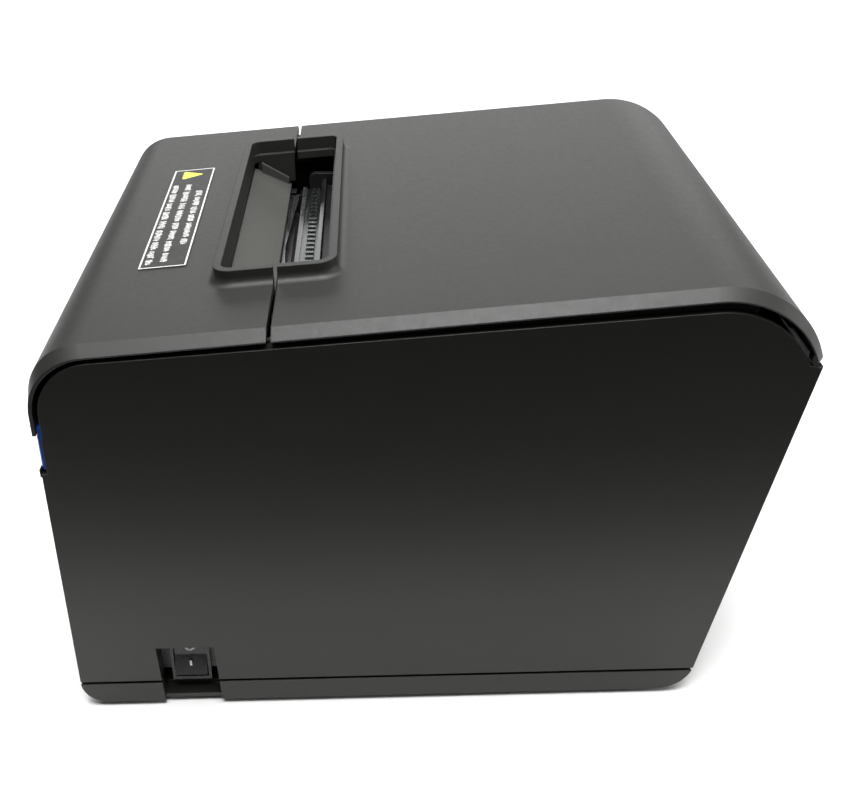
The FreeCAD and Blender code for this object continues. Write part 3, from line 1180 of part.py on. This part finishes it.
def all_nodes():
    shell = cover_shell()
    nodes = {
        "base_tray": make_base_tray(),
        "main_housing": make_main_housing(),
        "front_cover": make_front_cover(shell),
        "roll_lid": make_roll_lid(shell),
        "label": make_label(),
        "exit_plate": make_exit_plate(),
        "hinge_pins": make_hinge_pins(),
        "rubber_feet": make_feet(),
        "paper_well": make_paper_well(),
        "near_end_sensor": make_near_end_sensor(),
        "chassis": make_chassis(),
        "chassis_screws": make_chassis_screws(),
        "head_pivot_pin": make_head_pin(),
        "heat_sink": make_heat_sink(),
        "print_head": make_print_head(),
        "head_springs": make_head_springs(),
        "head_ribbon": make_head_ribbon(),
        "platen_rubber": make_platen_rubber(),
        "platen_shaft": make_platen_shaft(),
        "platen_bushings": make_platen_bushings(),
        "platen_holder": make_platen_holder(),
        "platen_gear": make_platen_gear(),
        "idler_gear": make_idler_gear(),
        "idler_pin": make_idler_pin(),
        "feed_motor": make_feed_motor(),
        "feed_pinion": make_feed_pinion(),
        "moving_blade": make_moving_blade(),
        "blade_carriage": make_blade_carriage(),
        "cutter_guide": make_cutter_guide(),
        "cutter_shaft": make_cutter_shaft(),
        "cutter_pinions": make_cutter_pinions(),
        "cutter_gear": make_cutter_gear(),
        "cutter_motor": make_cutter_motor(),
        "cutter_motor_pinion": make_cutter_motor_pinion(),
        "fixed_blade": make_fixed_blade(),
        "blade_bracket": make_blade_bracket(),
        "latch_shaft": make_latch_shaft(),
        "latch_hook_left": make_latch_hook(-1),
        "latch_hook_right": make_latch_hook(1),
        "latch_arm": make_latch_arm(),
        "latch_spring": make_latch_spring(),
        "release_button": make_release_button(),
        "release_slide": make_release_slide(),
        "switch_body": make_switch_body(),
        "switch_rocker": make_switch_rocker(),
        "status_panel": make_status_panel(),
        "light_pipes": make_light_pipes(),
        "feed_key": make_feed_key(),
        "key_board": make_key_board(),
        "main_board": make_main_board(),
        "board_screws": make_board_screws(),
        "buzzer": make_buzzer(),
        "socket_panel": make_socket_panel(),
    }
    for name, x, width, height in SOCKET_ROWS:
        if name == "power_socket":
            nodes[name] = make_power_socket(x, width, height)
        elif name == "serial_socket":
            nodes[name] = make_serial_socket(x, width, height)
        else:
            nodes[name] = make_box_socket(x, width, height, width / 2)
    return nodes


os.makedirs("parts", exist_ok=True)
for node_name, node_shape in all_nodes().items():
    write_node(node_name, node_shape)
print("middle_y", round(middle_y(), 4), "rear", round(rear_reach(), 3), "idler", idler_place())
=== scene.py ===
# %% [markdown]
# # A desktop receipt printer
# This lesson dresses a finished mechanical model. The printer's shells, gears, blades and sockets
# arrive as solid parts with the right sizes, so nothing here is measured again. What is left is what
# Blender does best: the finish of every surface, the fine pieces that are too small or too soft for a
# mechanical drawing, the light, and the camera.
# Everything is in metres. Z is up, Y runs from the front of the printer to its back, and X points to
# the side that carries the power switch.

# %% Load the model
import bpy
import bmesh
import json
import math
import random
from mathutils import Matrix, Vector


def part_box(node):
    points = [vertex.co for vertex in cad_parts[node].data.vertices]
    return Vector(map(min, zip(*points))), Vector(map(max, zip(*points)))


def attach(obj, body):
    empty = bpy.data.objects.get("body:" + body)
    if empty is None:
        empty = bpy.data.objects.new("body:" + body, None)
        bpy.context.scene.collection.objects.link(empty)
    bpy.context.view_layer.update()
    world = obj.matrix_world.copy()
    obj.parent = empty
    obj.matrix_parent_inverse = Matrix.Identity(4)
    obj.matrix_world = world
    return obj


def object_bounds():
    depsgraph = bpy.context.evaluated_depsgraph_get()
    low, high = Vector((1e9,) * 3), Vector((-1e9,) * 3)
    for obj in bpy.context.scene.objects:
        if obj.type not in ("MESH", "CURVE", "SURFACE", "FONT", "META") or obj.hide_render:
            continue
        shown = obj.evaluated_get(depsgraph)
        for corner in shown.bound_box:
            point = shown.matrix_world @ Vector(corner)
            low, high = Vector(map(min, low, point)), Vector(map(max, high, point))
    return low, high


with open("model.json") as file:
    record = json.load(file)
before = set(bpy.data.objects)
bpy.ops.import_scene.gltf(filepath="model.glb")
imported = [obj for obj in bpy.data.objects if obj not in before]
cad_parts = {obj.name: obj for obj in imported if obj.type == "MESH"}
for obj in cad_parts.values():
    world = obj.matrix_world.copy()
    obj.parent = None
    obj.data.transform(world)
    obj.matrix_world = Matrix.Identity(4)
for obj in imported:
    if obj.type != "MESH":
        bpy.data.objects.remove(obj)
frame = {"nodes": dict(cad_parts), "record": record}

MM = 0.001
cad_box = [list(corner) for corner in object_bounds()]
nodes = frame["nodes"]
print("size in mm:", [round((b - a) / MM, 1) for a, b in zip(*cad_box)])

# %% [markdown]
# ## The camera
# A printer like this stands below eye level, so the camera looks down on its side. A camera can be
# aimed with a Track To constraint, or by giving it a matrix. The matrix is used here because it also
# keeps the small tilt of a camera held by hand. Its columns are the camera's right, its up, and the
# direction behind it, each of length one.

# %% Place the camera
camera_data = bpy.data.cameras.new("camera")
camera = bpy.data.objects.new("camera", camera_data)
bpy.context.scene.collection.objects.link(camera)
bpy.context.scene.camera = camera
camera_data.sensor_width = 36.0
camera_data.lens = 49.24
camera_data.clip_start = 0.02
camera_right = Vector((0.0452767, 0.9989138, 0.0110093))
camera_down = Vector((0.5074352, -0.0135042, -0.8615841))
camera_ahead = Vector((-0.8604996, 0.0445962, -0.5074954))
turn = Matrix((camera_right, -camera_down, -camera_ahead)).transposed()
camera.matrix_world = Matrix.Translation((0.29797, -0.01234, 0.22146)) @ turn.to_4x4()
print("camera lens in mm:", camera_data.lens)

# %% [markdown]
# ## The floor and the light
# Dark satin plastic has hardly any colour of its own. What the eye reads on it is what it mirrors, so
# the light is built from large soft panels, as in a studio. One stands behind the far side and draws a
# slow gradient over the top. One hangs almost overhead and lights the bevel. A wide one hangs over
# the floor, and its glow comes back up the side wall.
# A black card beside a black object darkens the face that mirrors it. Here the card is kept unseen, and
# out of the light, by switching off its camera and shadow rays. It only shows as a dark reflection in
# the upper half of the side wall.

# %% Make the floor
def flat_material(name, colour, roughness):
    material = bpy.data.materials.new(name)
    material.use_nodes = True
    shader = material.node_tree.nodes["Principled BSDF"]
    shader.inputs["Base Color"].default_value = (*colour, 1.0)
    shader.inputs["Roughness"].default_value = roughness
    return material


def level_sheet(name, x0, x1, y0, y1, level, material):
    mesh = bpy.data.meshes.new(name)
    corners = [(x0, y0, level), (x1, y0, level), (x1, y1, level), (x0, y1, level)]
    mesh.from_pydata(corners, [], [(0, 1, 2, 3)])
    mesh.materials.append(material)
    sheet = bpy.data.objects.new(name, mesh)
    bpy.context.scene.collection.objects.link(sheet)
    return sheet


floor_half = 3.0
card_x = (0.138, 1.6)
card_half_y = 1.2
card_lift = 0.2 * MM
floor_level = cad_box[0][2]
floor_white = flat_material("floor_pale", (0.88, 0.88, 0.875), 0.8)
floor = level_sheet("floor", -floor_half, floor_half, -floor_half, floor_half, floor_level, floor_white)
card_black = flat_material("card_black", (0.01, 0.01, 0.01), 0.9)
card = level_sheet("black_card", *card_x, -card_half_y, card_half_y, floor_level + card_lift, card_black)
card.visible_camera = False
card.visible_shadow = False
print("floor level in mm:", round(floor_level / MM, 2))

# %% [markdown]
# ## Hanging the lamps
# An area light is a glowing panel. The larger it is, the softer the reflection's edge. Spread narrows
# its beam like a honeycomb grid on a studio lamp. The lamps are hidden from the camera, so that only
# what they light is seen.

# %% Hang the lamps
def soft_light(name, place, target, size, power, spread=180.0):
    data = bpy.data.lights.new(name, "AREA")
    data.shape = "RECTANGLE"
    data.size = size[0]
    data.size_y = size[1]
    data.energy = power
    data.spread = math.radians(spread)
    lamp = bpy.data.objects.new(name, data)
    bpy.context.scene.collection.objects.link(lamp)
    lamp.visible_camera = False
    lamp.location = place
    lamp.rotation_euler = (Vector(target) - Vector(place)).to_track_quat("-Z", "Y").to_euler()
    return lamp


soft_light("light_far", (-1.5, 0.1, 0.45), (0.0, 0.0, 0.10), (1.6, 0.60), 5.0)
soft_light("light_back", (0.05, 1.5, 0.50), (0.0, 0.0, 0.10), (1.4, 0.65), 6.5)
soft_light("light_over", (0.50, 0.0, 1.45), (0.0, 0.0, 0.1), (0.55, 0.55), 2.1, 60.0)
soft_light("light_floor", (-0.55, 0.0, 1.9), (-0.55, 0.0, 0.0), (2.2, 3.2), 32.0, 100.0)
world = bpy.data.worlds.new("studio")
bpy.context.scene.world = world
world.use_nodes = True
world.node_tree.nodes["Background"].inputs["Color"].default_value = (1.0, 1.0, 1.0, 1.0)
world.node_tree.nodes["Background"].inputs["Strength"].default_value = 0.11
bpy.context.scene.view_settings.view_transform = "Standard"

# %% [markdown]
# ## Moulded plastic
# The shells are injection moulded in black plastic. The mould is spark eroded, which leaves a fine,
# even grain about a fifth of a millimetre across: the surface is dark, and its shine is spread out.
# An image of the grain could be wrapped round the parts, but a few noise textures give the same at
# any distance and need no unwrapping. Three scales work together: slow patches change the colour a
# little, the grain tilts the surface through a Bump node, and a scatter of tiny specks is the
# dust that black plastic always carries.

# %% Material tools
class Sheet:
    """Node tree of one material, with short ways to add nodes."""

    def __init__(self, name):
        self.material = bpy.data.materials.new(name)
        self.material.use_nodes = True
        self.tree = self.material.node_tree
        self.shader = self.tree.nodes["Principled BSDF"]
        self.place = self.add("ShaderNodeTexCoord").outputs["Object"]

    def add(self, kind, **settings):
        node = self.tree.nodes.new(kind)
        for key, value in settings.items():
            setattr(node, key, value)
        return node

    def link(self, source, target):
        self.tree.links.new(source, target)

    def stretched(self, scale):
        mapping = self.add("ShaderNodeMapping")
        mapping.inputs["Scale"].default_value = scale
        self.link(self.place, mapping.inputs["Vector"])
        return mapping.outputs["Vector"]

    def noise(self, per_metre, detail=2.0, rough=0.5, where=None):
        node = self.add("ShaderNodeTexNoise")
        node.inputs["Scale"].default_value = per_metre
        node.inputs["Detail"].default_value = detail
        node.inputs["Roughness"].default_value = rough
        self.link(where or self.place, node.inputs["Vector"])
        return node.outputs["Fac"]

    def scaled(self, value, low, high, to_low=0.0, to_high=1.0):
        node = self.add("ShaderNodeMapRange")
        node.inputs["From Min"].default_value = low
        node.inputs["From Max"].default_value = high
        node.inputs["To Min"].default_value = to_low
        node.inputs["To Max"].default_value = to_high
        self.link(value, node.inputs["Value"])
        return node.outputs["Result"]

    def maths(self, operation, first, second):
        node = self.add("ShaderNodeMath", operation=operation)
        for socket, value in zip(node.inputs, (first, second)):
            if isinstance(value, (int, float)):
                socket.default_value = value
            else:
                self.link(value, socket)
        return node.outputs["Value"]

    def blend(self, factor, first, second):
        node = self.add("ShaderNodeMix", data_type="RGBA")
        self.link(factor, node.inputs["Factor"])
        for socket, value in ((node.inputs[6], first), (node.inputs[7], second)):
            if isinstance(value, tuple):
                socket.default_value = (*value, 1.0)
            else:
                self.link(value, socket)
        return node.outputs[2]

    def colour(self, source):
        self.link(source, self.shader.inputs["Base Color"])

    def roughness(self, source):
        self.link(source, self.shader.inputs["Roughness"])

    def bump(self, height, strength, distance, surface=None):
        node = self.add("ShaderNodeBump")
        if surface is not None:
            self.link(surface, node.inputs["Normal"])
        node.inputs["Strength"].default_value = strength
        node.inputs["Distance"].default_value = distance
        self.link(height, node.inputs["Height"])
        self.link(node.outputs["Normal"], self.shader.inputs["Normal"])

    def set(self, **values):
        for name, value in values.items():
            socket = self.shader.inputs[name.replace("_", " ")]
            socket.default_value = (*value, 1.0) if isinstance(value, tuple) else value


def grained_plastic(name, colour, roughness, grain=0.35, dust=0.0, shine=0.5, edge=0.35):
    """Moulded plastic: fine grain, faint slow patches, a little dust, and edges the mould left round."""
    sheet = Sheet(name)
    sheet.set(**{"Specular_IOR_Level": shine})
    light = tuple(min(1.0, c * 1.06 + 0.0004) for c in colour)
    tone = sheet.blend(sheet.scaled(sheet.noise(60.0, 3.0), 0.35, 0.65), colour, light)
    if dust > 0.0:
        grains = sheet.add("ShaderNodeTexVoronoi", feature="F1")
        grains.inputs["Scale"].default_value = 160.0
        sheet.link(sheet.place, grains.inputs["Vector"])
        pick = sheet.scaled(grains.outputs["Color"], 1.0 - dust, 1.0 - dust + 0.01)
        spot = sheet.scaled(grains.outputs["Distance"], 0.032, 0.012)
        tone = sheet.blend(sheet.maths("MULTIPLY", pick, spot), tone, (0.24, 0.23, 0.21))
    sheet.colour(tone)
    sheet.roughness(sheet.scaled(sheet.noise(700.0, 2.0), 0.3, 0.7, roughness - 0.02, roughness + 0.03))
    fine = sheet.noise(5200.0, 1.0)
    coarse = sheet.noise(2100.0, 2.0)
    rounded = sheet.add("ShaderNodeBevel", samples=4)
    rounded.inputs["Radius"].default_value = edge * MM
    sheet.bump(sheet.maths("ADD", fine, coarse), grain, 0.00004, rounded.outputs["Normal"])
    return sheet.material


housing_black = grained_plastic("housing_satin", (0.0092, 0.0088, 0.0068), 0.40, 0.40, 0.015, 0.5)
cover_black = grained_plastic("cover_satin", (0.0200, 0.0198, 0.0185), 0.46, 0.40, 0.012, 0.5)
inner_black = grained_plastic("inner_moulding", (0.0060, 0.0060, 0.0062), 0.36, 0.2, 0.0, 0.5, 0.2)
exit_grey = grained_plastic("exit_matt", (0.060, 0.060, 0.055), 0.60, 0.25, 0.0, 0.4)
key_grey = grained_plastic("key_satin", (0.12, 0.12, 0.125), 0.5, 0.2)
socket_black = grained_plastic("socket_moulding", (0.012, 0.012, 0.013), 0.45, 0.15)
gear_white = grained_plastic("gear_acetal", (0.72, 0.70, 0.65), 0.36, 0.05, 0.0, 0.5, 0.1)
print("plastics made:", len([m for m in bpy.data.materials if "Principled BSDF" in m.node_tree.nodes]))

# %% [markdown]
# ## Metal, rubber, glass and circuit board
# The works behind the paper slot are bright steel, aluminium, ground rubber and ceramic. Sheet steel
# is rolled, and its fine scratches all run one way: a noise texture squeezed along one axis gives
# them. Rubber has no direction, so its noise is left even.

# %% Metals
def drawn_metal(name, colour, roughness, across=(60.0, 1400.0, 1400.0), scratch=0.25):
    """Metal whose scratches run along X unless told otherwise."""
    sheet = Sheet(name)
    sheet.set(Metallic=1.0)
    lines = sheet.noise(1.0, 3.0, 0.6, sheet.stretched(across))
    dark = tuple(c * 0.78 for c in colour)
    sheet.colour(sheet.blend(sheet.scaled(lines, 0.3, 0.7), dark, colour))
    sheet.roughness(sheet.scaled(lines, 0.25, 0.75, roughness - 0.08, roughness + 0.10))
    sheet.bump(lines, scratch, 0.00004)
    return sheet.material


# The chassis steel and the ground steel stand deep in the slot under the collar. Their colours are made
# much darker than steel is, which paints the shade of the slot into them.
chassis_steel = drawn_metal("chassis_zinc_painted_shade", (0.16, 0.165, 0.17), 0.38)
bright_steel = drawn_metal("ground_steel_painted_shade", (0.30, 0.31, 0.31), 0.24)
spring_steel = drawn_metal("drawn_wire", (0.42, 0.42, 0.43), 0.3, (900.0, 900.0, 900.0))
sink_aluminium = drawn_metal("extruded_aluminium", (0.72, 0.72, 0.73), 0.34, (40.0, 900.0, 900.0))
motor_can = drawn_metal("motor_can", (0.36, 0.36, 0.37), 0.36, (1200.0, 90.0, 90.0))
screw_zinc = drawn_metal("zinc_screw", (0.58, 0.57, 0.54), 0.3, (700.0, 700.0, 700.0))
socket_metal = drawn_metal("plated_shell", (0.62, 0.62, 0.62), 0.25, (700.0, 80.0, 700.0))
brass = drawn_metal("turned_brass", (0.72, 0.52, 0.22), 0.28, (60.0, 1500.0, 1500.0))
print("metals made")

# %% [markdown]
# ## Materials that aren't metal
# Ground rubber is dull and even. Polished plastic and glaze differ in their coat, a thin clear layer
# with its own shine. The circuit board gets straight tracks from a brick texture, whose mortar lines
# already run square, so none has to be drawn.

# %% Rubber, ceramic, gloss plastic and board
def ground_rubber(name, colour, roughness):
    sheet = Sheet(name)
    sheet.set(**{"Specular_IOR_Level": 0.3})
    dust = sheet.scaled(sheet.noise(700.0, 5.0, 0.7), 0.4, 0.8)
    sheet.colour(sheet.blend(dust, colour, tuple(c * 1.8 + 0.01 for c in colour)))
    sheet.roughness(sheet.scaled(sheet.noise(240.0, 3.0), 0.3, 0.7, roughness - 0.06, roughness + 0.06))
    sheet.bump(sheet.noise(3800.0, 2.0), 0.3, 0.00008)
    return sheet.material


def polished(name, colour, roughness, coat=0.0, depth=0.8):
    """Smooth moulded plastic with a faint flow pattern under the shine."""
    sheet = Sheet(name)
    sheet.set(**{"Coat_Weight": coat, "Coat_Roughness": 0.08})
    flow = sheet.noise(1.0, 2.0, 0.5, sheet.stretched((120.0, 300.0, 60.0)))
    sheet.colour(sheet.blend(sheet.scaled(flow, 0.35, 0.65), tuple(c * depth for c in colour), colour))
    sheet.roughness(sheet.scaled(sheet.noise(420.0, 3.0), 0.3, 0.7, roughness, roughness + 0.08))
    sheet.bump(sheet.noise(900.0, 1.0), 0.05, 0.00005)
    return sheet.material


def circuit_board():
    """Green solder mask: copper tracks lie under it as slightly lighter straight lines."""
    sheet = Sheet("solder_mask")
    bricks = sheet.add("ShaderNodeTexBrick")
    bricks.inputs["Scale"].default_value = 60.0
    bricks.inputs["Mortar Size"].default_value = 0.03
    sheet.link(sheet.place, bricks.inputs["Vector"])
    tracks = sheet.maths("MULTIPLY", bricks.outputs["Fac"], sheet.scaled(sheet.noise(90.0), 0.45, 0.55))
    sheet.colour(sheet.blend(tracks, (0.010, 0.085, 0.035), (0.03, 0.20, 0.08)))
    sheet.roughness(sheet.scaled(sheet.noise(300.0), 0.3, 0.7, 0.25, 0.4))
    sheet.bump(tracks, 0.3, 0.00005)
    return sheet.material


platen_rubber = ground_rubber("ground_rubber", (0.022, 0.022, 0.023), 0.62)
foot_rubber = ground_rubber("foot_rubber", (0.030, 0.030, 0.030), 0.7)
head_ceramic = polished("glazed_ceramic", (0.030, 0.027, 0.022), 0.18, 0.3)
panel_gloss = polished("panel_gloss", (0.010, 0.010, 0.012), 0.07, 0.5)
switch_black = polished("switch_satin", (0.014, 0.014, 0.015), 0.25, 0.0)
lamp_clear = polished("lamp_clear", (0.62, 0.66, 0.66), 0.12, 0.3)
release_blue = polished("release_blue", (0.012, 0.105, 0.52), 0.14, 0.6, 0.5)
ribbon = polished("flat_cable", (0.70, 0.71, 0.72), 0.35)
label_film = polished("label_film", (0.0185, 0.0183, 0.0175), 0.44)
board_green = circuit_board()

slot_finish = {
    "housing_black": housing_black, "cover_black": cover_black, "inner_black": inner_black,
    "exit_grey": exit_grey, "label_film": label_film, "release_blue": release_blue,
    "panel_gloss": panel_gloss, "lamp_clear": lamp_clear, "key_grey": key_grey,
    "chassis_steel": chassis_steel, "bright_steel": bright_steel, "spring_steel": spring_steel,
    "sink_aluminium": sink_aluminium, "head_ceramic": head_ceramic, "platen_rubber": platen_rubber,
    "foot_rubber": foot_rubber, "gear_white": gear_white, "brass": brass, "motor_can": motor_can,
    "board_green": board_green, "socket_black": socket_black, "socket_metal": socket_metal,
    "switch_black": switch_black, "ribbon": ribbon, "screw_zinc": screw_zinc,
}
for row in frame["record"]["subparts"]:
    node = nodes[row["node"]]
    for index in range(max(1, len(node.data.materials))):
        if node.data.materials:
            node.data.materials[index] = slot_finish[row["material_slot"]]
        else:
            node.data.materials.append(slot_finish[row["material_slot"]])

# %% [markdown]
# ## The label on the front cover
# A small label is stuck in front of the paper slot, slightly askew. It is black film with a thin white
# frame, a yellow triangle, and three rows of white marks. The marks say nothing here: they are
# short strokes of mixed heights, grouped as words are. They could be painted with a texture, but ink
# this small needs a very fine texture, so each stroke is a real patch of ink a few hundredths of a
# millimetre thick. One mesh holds all of them, which keeps the scene light.

# %% Ink
def ink(name, colour, roughness=0.5):
    """Screen ink: almost even, with pinholes where the mesh of the screen was."""
    sheet = Sheet(name)
    holes = sheet.scaled(sheet.noise(2600.0, 2.0), 0.30, 0.42)
    sheet.colour(sheet.blend(holes, tuple(c * 0.45 for c in colour), colour))
    sheet.roughness(sheet.scaled(sheet.noise(900.0), 0.3, 0.7, roughness - 0.05, roughness + 0.05))
    sheet.bump(sheet.noise(3000.0, 1.0), 0.1, 0.00002)
    return sheet.material


ink_white = ink("ink_white", (0.78, 0.79, 0.76))
ink_yellow = ink("ink_yellow", (0.82, 0.78, 0.10))


def prism(mesh, outline, low, high):
    """Add one flat patch to a bmesh: an outline of (x, y) raised from low to high."""
    bottom = [mesh.verts.new((x, y, low)) for x, y in outline]
    top = [mesh.verts.new((x, y, high)) for x, y in outline]
    mesh.faces.new(reversed(bottom))
    mesh.faces.new(top)
    for i in range(len(outline)):
        j = (i + 1) % len(outline)
        mesh.faces.new((bottom[i], bottom[j], top[j], top[i]))


def patch(mesh, x0, x1, y0, y1, low, high):
    prism(mesh, [(x0, y0), (x1, y0), (x1, y1), (x0, y1)], low, high)


def made(name, mesh, material, body, place=None):
    """Turn a bmesh into a piece that rides on a body."""
    bmesh.ops.recalc_face_normals(mesh, faces=mesh.faces)
    if place is not None:
        bmesh.ops.transform(mesh, matrix=place, verts=mesh.verts)
    data = bpy.data.meshes.new(name)
    mesh.to_mesh(data)
    mesh.free()
    data.materials.append(material)
    piece = bpy.data.objects.new(name, data)
    bpy.context.scene.collection.objects.link(piece)
    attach(piece, body)
    return piece


# %% [markdown]
# ## Placing the label
# The label is a thin part of the model that already lies on the slope. Its box gives the middle, and a
# matrix turns flat ink to the same slope, with the small twist of a label stuck on by hand.

# %% Where the label lies
top_slope = math.radians(4.98)
label_turn = math.radians(0.56)
label_thick = 0.2 * MM
label_low, label_high = (Vector(corner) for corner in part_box("label"))
label_middle = (label_low + label_high) / 2
label_along = 71.4 * MM
label_across = (label_high.y - label_low.y) / math.cos(top_slope) - label_along * math.sin(label_turn)
face_up = Vector((0.0, -math.sin(top_slope), math.cos(top_slope)))
label_place = (Matrix.Translation(label_middle + face_up * label_thick / 2)
               @ Matrix.Rotation(top_slope, 4, "X") @ Matrix.Rotation(label_turn, 4, "Z"))
print("label in mm:", round(label_along / MM, 1), "by", round(label_across / MM, 1))

# %% [markdown]
# ## The frame
# Four thin patches make the frame. The two long ones run the full width and the short ones fit between
# them, so no ink lies twice at a corner.

# %% Frame
ink_low = -0.02 * MM  # a little inside the film, so that no gap shows
ink_high = 0.03 * MM
frame_line = 0.42 * MM
half_x = label_along / 2 - 0.1 * MM
half_y = label_across / 2 - 0.1 * MM
marks = bmesh.new()
for side in (-1, 1):
    inner_y, outer_y = sorted((side * (half_y - frame_line), side * half_y))
    patch(marks, -half_x, half_x, inner_y, outer_y, ink_low, ink_high)
    inner_x, outer_x = sorted((side * (half_x - frame_line), side * half_x))
    patch(marks, inner_x, outer_x, -half_y + frame_line, half_y - frame_line, ink_low, ink_high)

# %% [markdown]
# ## Rows of strokes
# Each row has a middle, a start and an end, as shares of the label. A seeded random generator draws
# the width, height and gap of every stroke, so the rows look like words and come out the same each time.

# %% Draw the rows
draw = random.Random(7)
rows = [(-0.325, 0.055, 0.965), (-0.02, 0.055, 0.955), (0.285, 0.135, 0.80)]
text_indent = 9.0 * MM
word_gap = 1.1 * MM
half_height = (0.55, 1.02)
bar_long = 0.42 * MM
bar_thick = 0.24 * MM
bar_share = 0.55
stroke_count = 0
for middle, start, end in rows:
    x = half_x * (-1 + 2 * start) + text_indent
    stop = half_x * (-1 + 2 * end)
    row_y = middle * label_across
    group = draw.randint(6, 10)
    while x < stop:
        if group == 0:
            x += word_gap
            group = draw.randint(6, 12)
            continue
        width = draw.uniform(0.22, 0.5) * MM
        low = row_y - draw.uniform(*half_height) * MM
        high = row_y + draw.uniform(*half_height) * MM
        patch(marks, x, x + width, low, high, ink_low, ink_high)
        if draw.random() < bar_share:
            bar_y = draw.uniform(low, high - 0.25 * MM)
            patch(marks, x + width, x + width + bar_long, bar_y, bar_y + bar_thick, ink_low, ink_high)
        x += width + draw.uniform(0.28, 0.5) * MM
        group -= 1
        stroke_count += 1
made("label_marks", marks, ink_white, "root", label_place)
print("strokes on the label:", stroke_count)

# %% [markdown]
# ## The triangle
# A triangle with sharp tips looks drawn rather than printed. Each corner is replaced by two points, one
# a little way along each side, which blunts it.

# %% Triangle
triangle = bmesh.new()
sign_x = -half_x + 4.7 * MM
sign_half = 3.4 * MM
sign_foot = -3.0 * MM
sign_tip = 3.2 * MM
blunt = 0.09
corners = [(sign_x - sign_half, sign_foot), (sign_x + sign_half, sign_foot), (sign_x, sign_tip)]
soft = []
for i, corner in enumerate(corners):
    here = Vector(corner)
    for other in (corners[i - 1], corners[(i + 1) % 3]):
        soft.append(tuple(here.lerp(Vector(other), blunt)))
prism(triangle, soft, ink_low, ink_high)
made("label_triangle", triangle, ink_yellow, "root", label_place)
print("triangle points:", len(soft))

# %% [markdown]
# ## The marks on the power switch
# The rocker carries a line for on and a ring for off. These two signs are the same on switches
# everywhere. They are printed on the two slopes of the rocker, so each one is laid on its own slope,
# and they ride on the rocker.

# %% Line and ring on the rocker
joints = frame["record"]["behaviour"]["joints"]
pivot = next(joint for joint in joints if joint["name"] == "power_rocker")["pos_m"]
rocker_tilt = math.radians(9.0)
rocker_face = 2.2 * MM
line_half_wide = 0.28 * MM
line_half_long = 1.7 * MM
line_up = -3.2 * MM
ring_inner = 1.15
ring_outer = 1.6
ring_up = 3.1 * MM
ring_steps = 40
quarter = math.radians(90.0)


def rocker_place(up, slope):
    """Matrix that lays (across, along) marks on the rocker face, at a height from its middle."""
    rise = abs(up) * math.tan(rocker_tilt)
    tilted = Matrix.Rotation(-rocker_tilt, 4, "Y")
    facing = Matrix.Rotation(quarter + slope, 4, "Y") @ Matrix.Rotation(quarter, 4, "Z")
    local = Matrix.Translation((rocker_face + rise, 0.0, up)) @ facing
    return Matrix.Translation(pivot) @ tilted @ local


on_mark = bmesh.new()
patch(on_mark, -line_half_wide, line_half_wide, -line_half_long, line_half_long, ink_low, ink_high)
made("switch_line", on_mark, ink_white, "rocker", rocker_place(line_up, rocker_tilt))
ring = bmesh.new()
for i in range(ring_steps):
    a0 = 2 * math.pi * i / ring_steps
    a1 = 2 * math.pi * (i + 1) / ring_steps
    polar = ((ring_inner, a0), (ring_outer, a0), (ring_outer, a1), (ring_inner, a1))
    quad = [(r * MM * math.cos(a), r * MM * math.sin(a)) for r, a in polar]
    prism(ring, quad, ink_low, ink_high)
made("switch_ring", ring, ink_white, "rocker", rocker_place(ring_up, -rocker_tilt))
print("rocker centre in mm:", [round(v / MM, 1) for v in pivot])
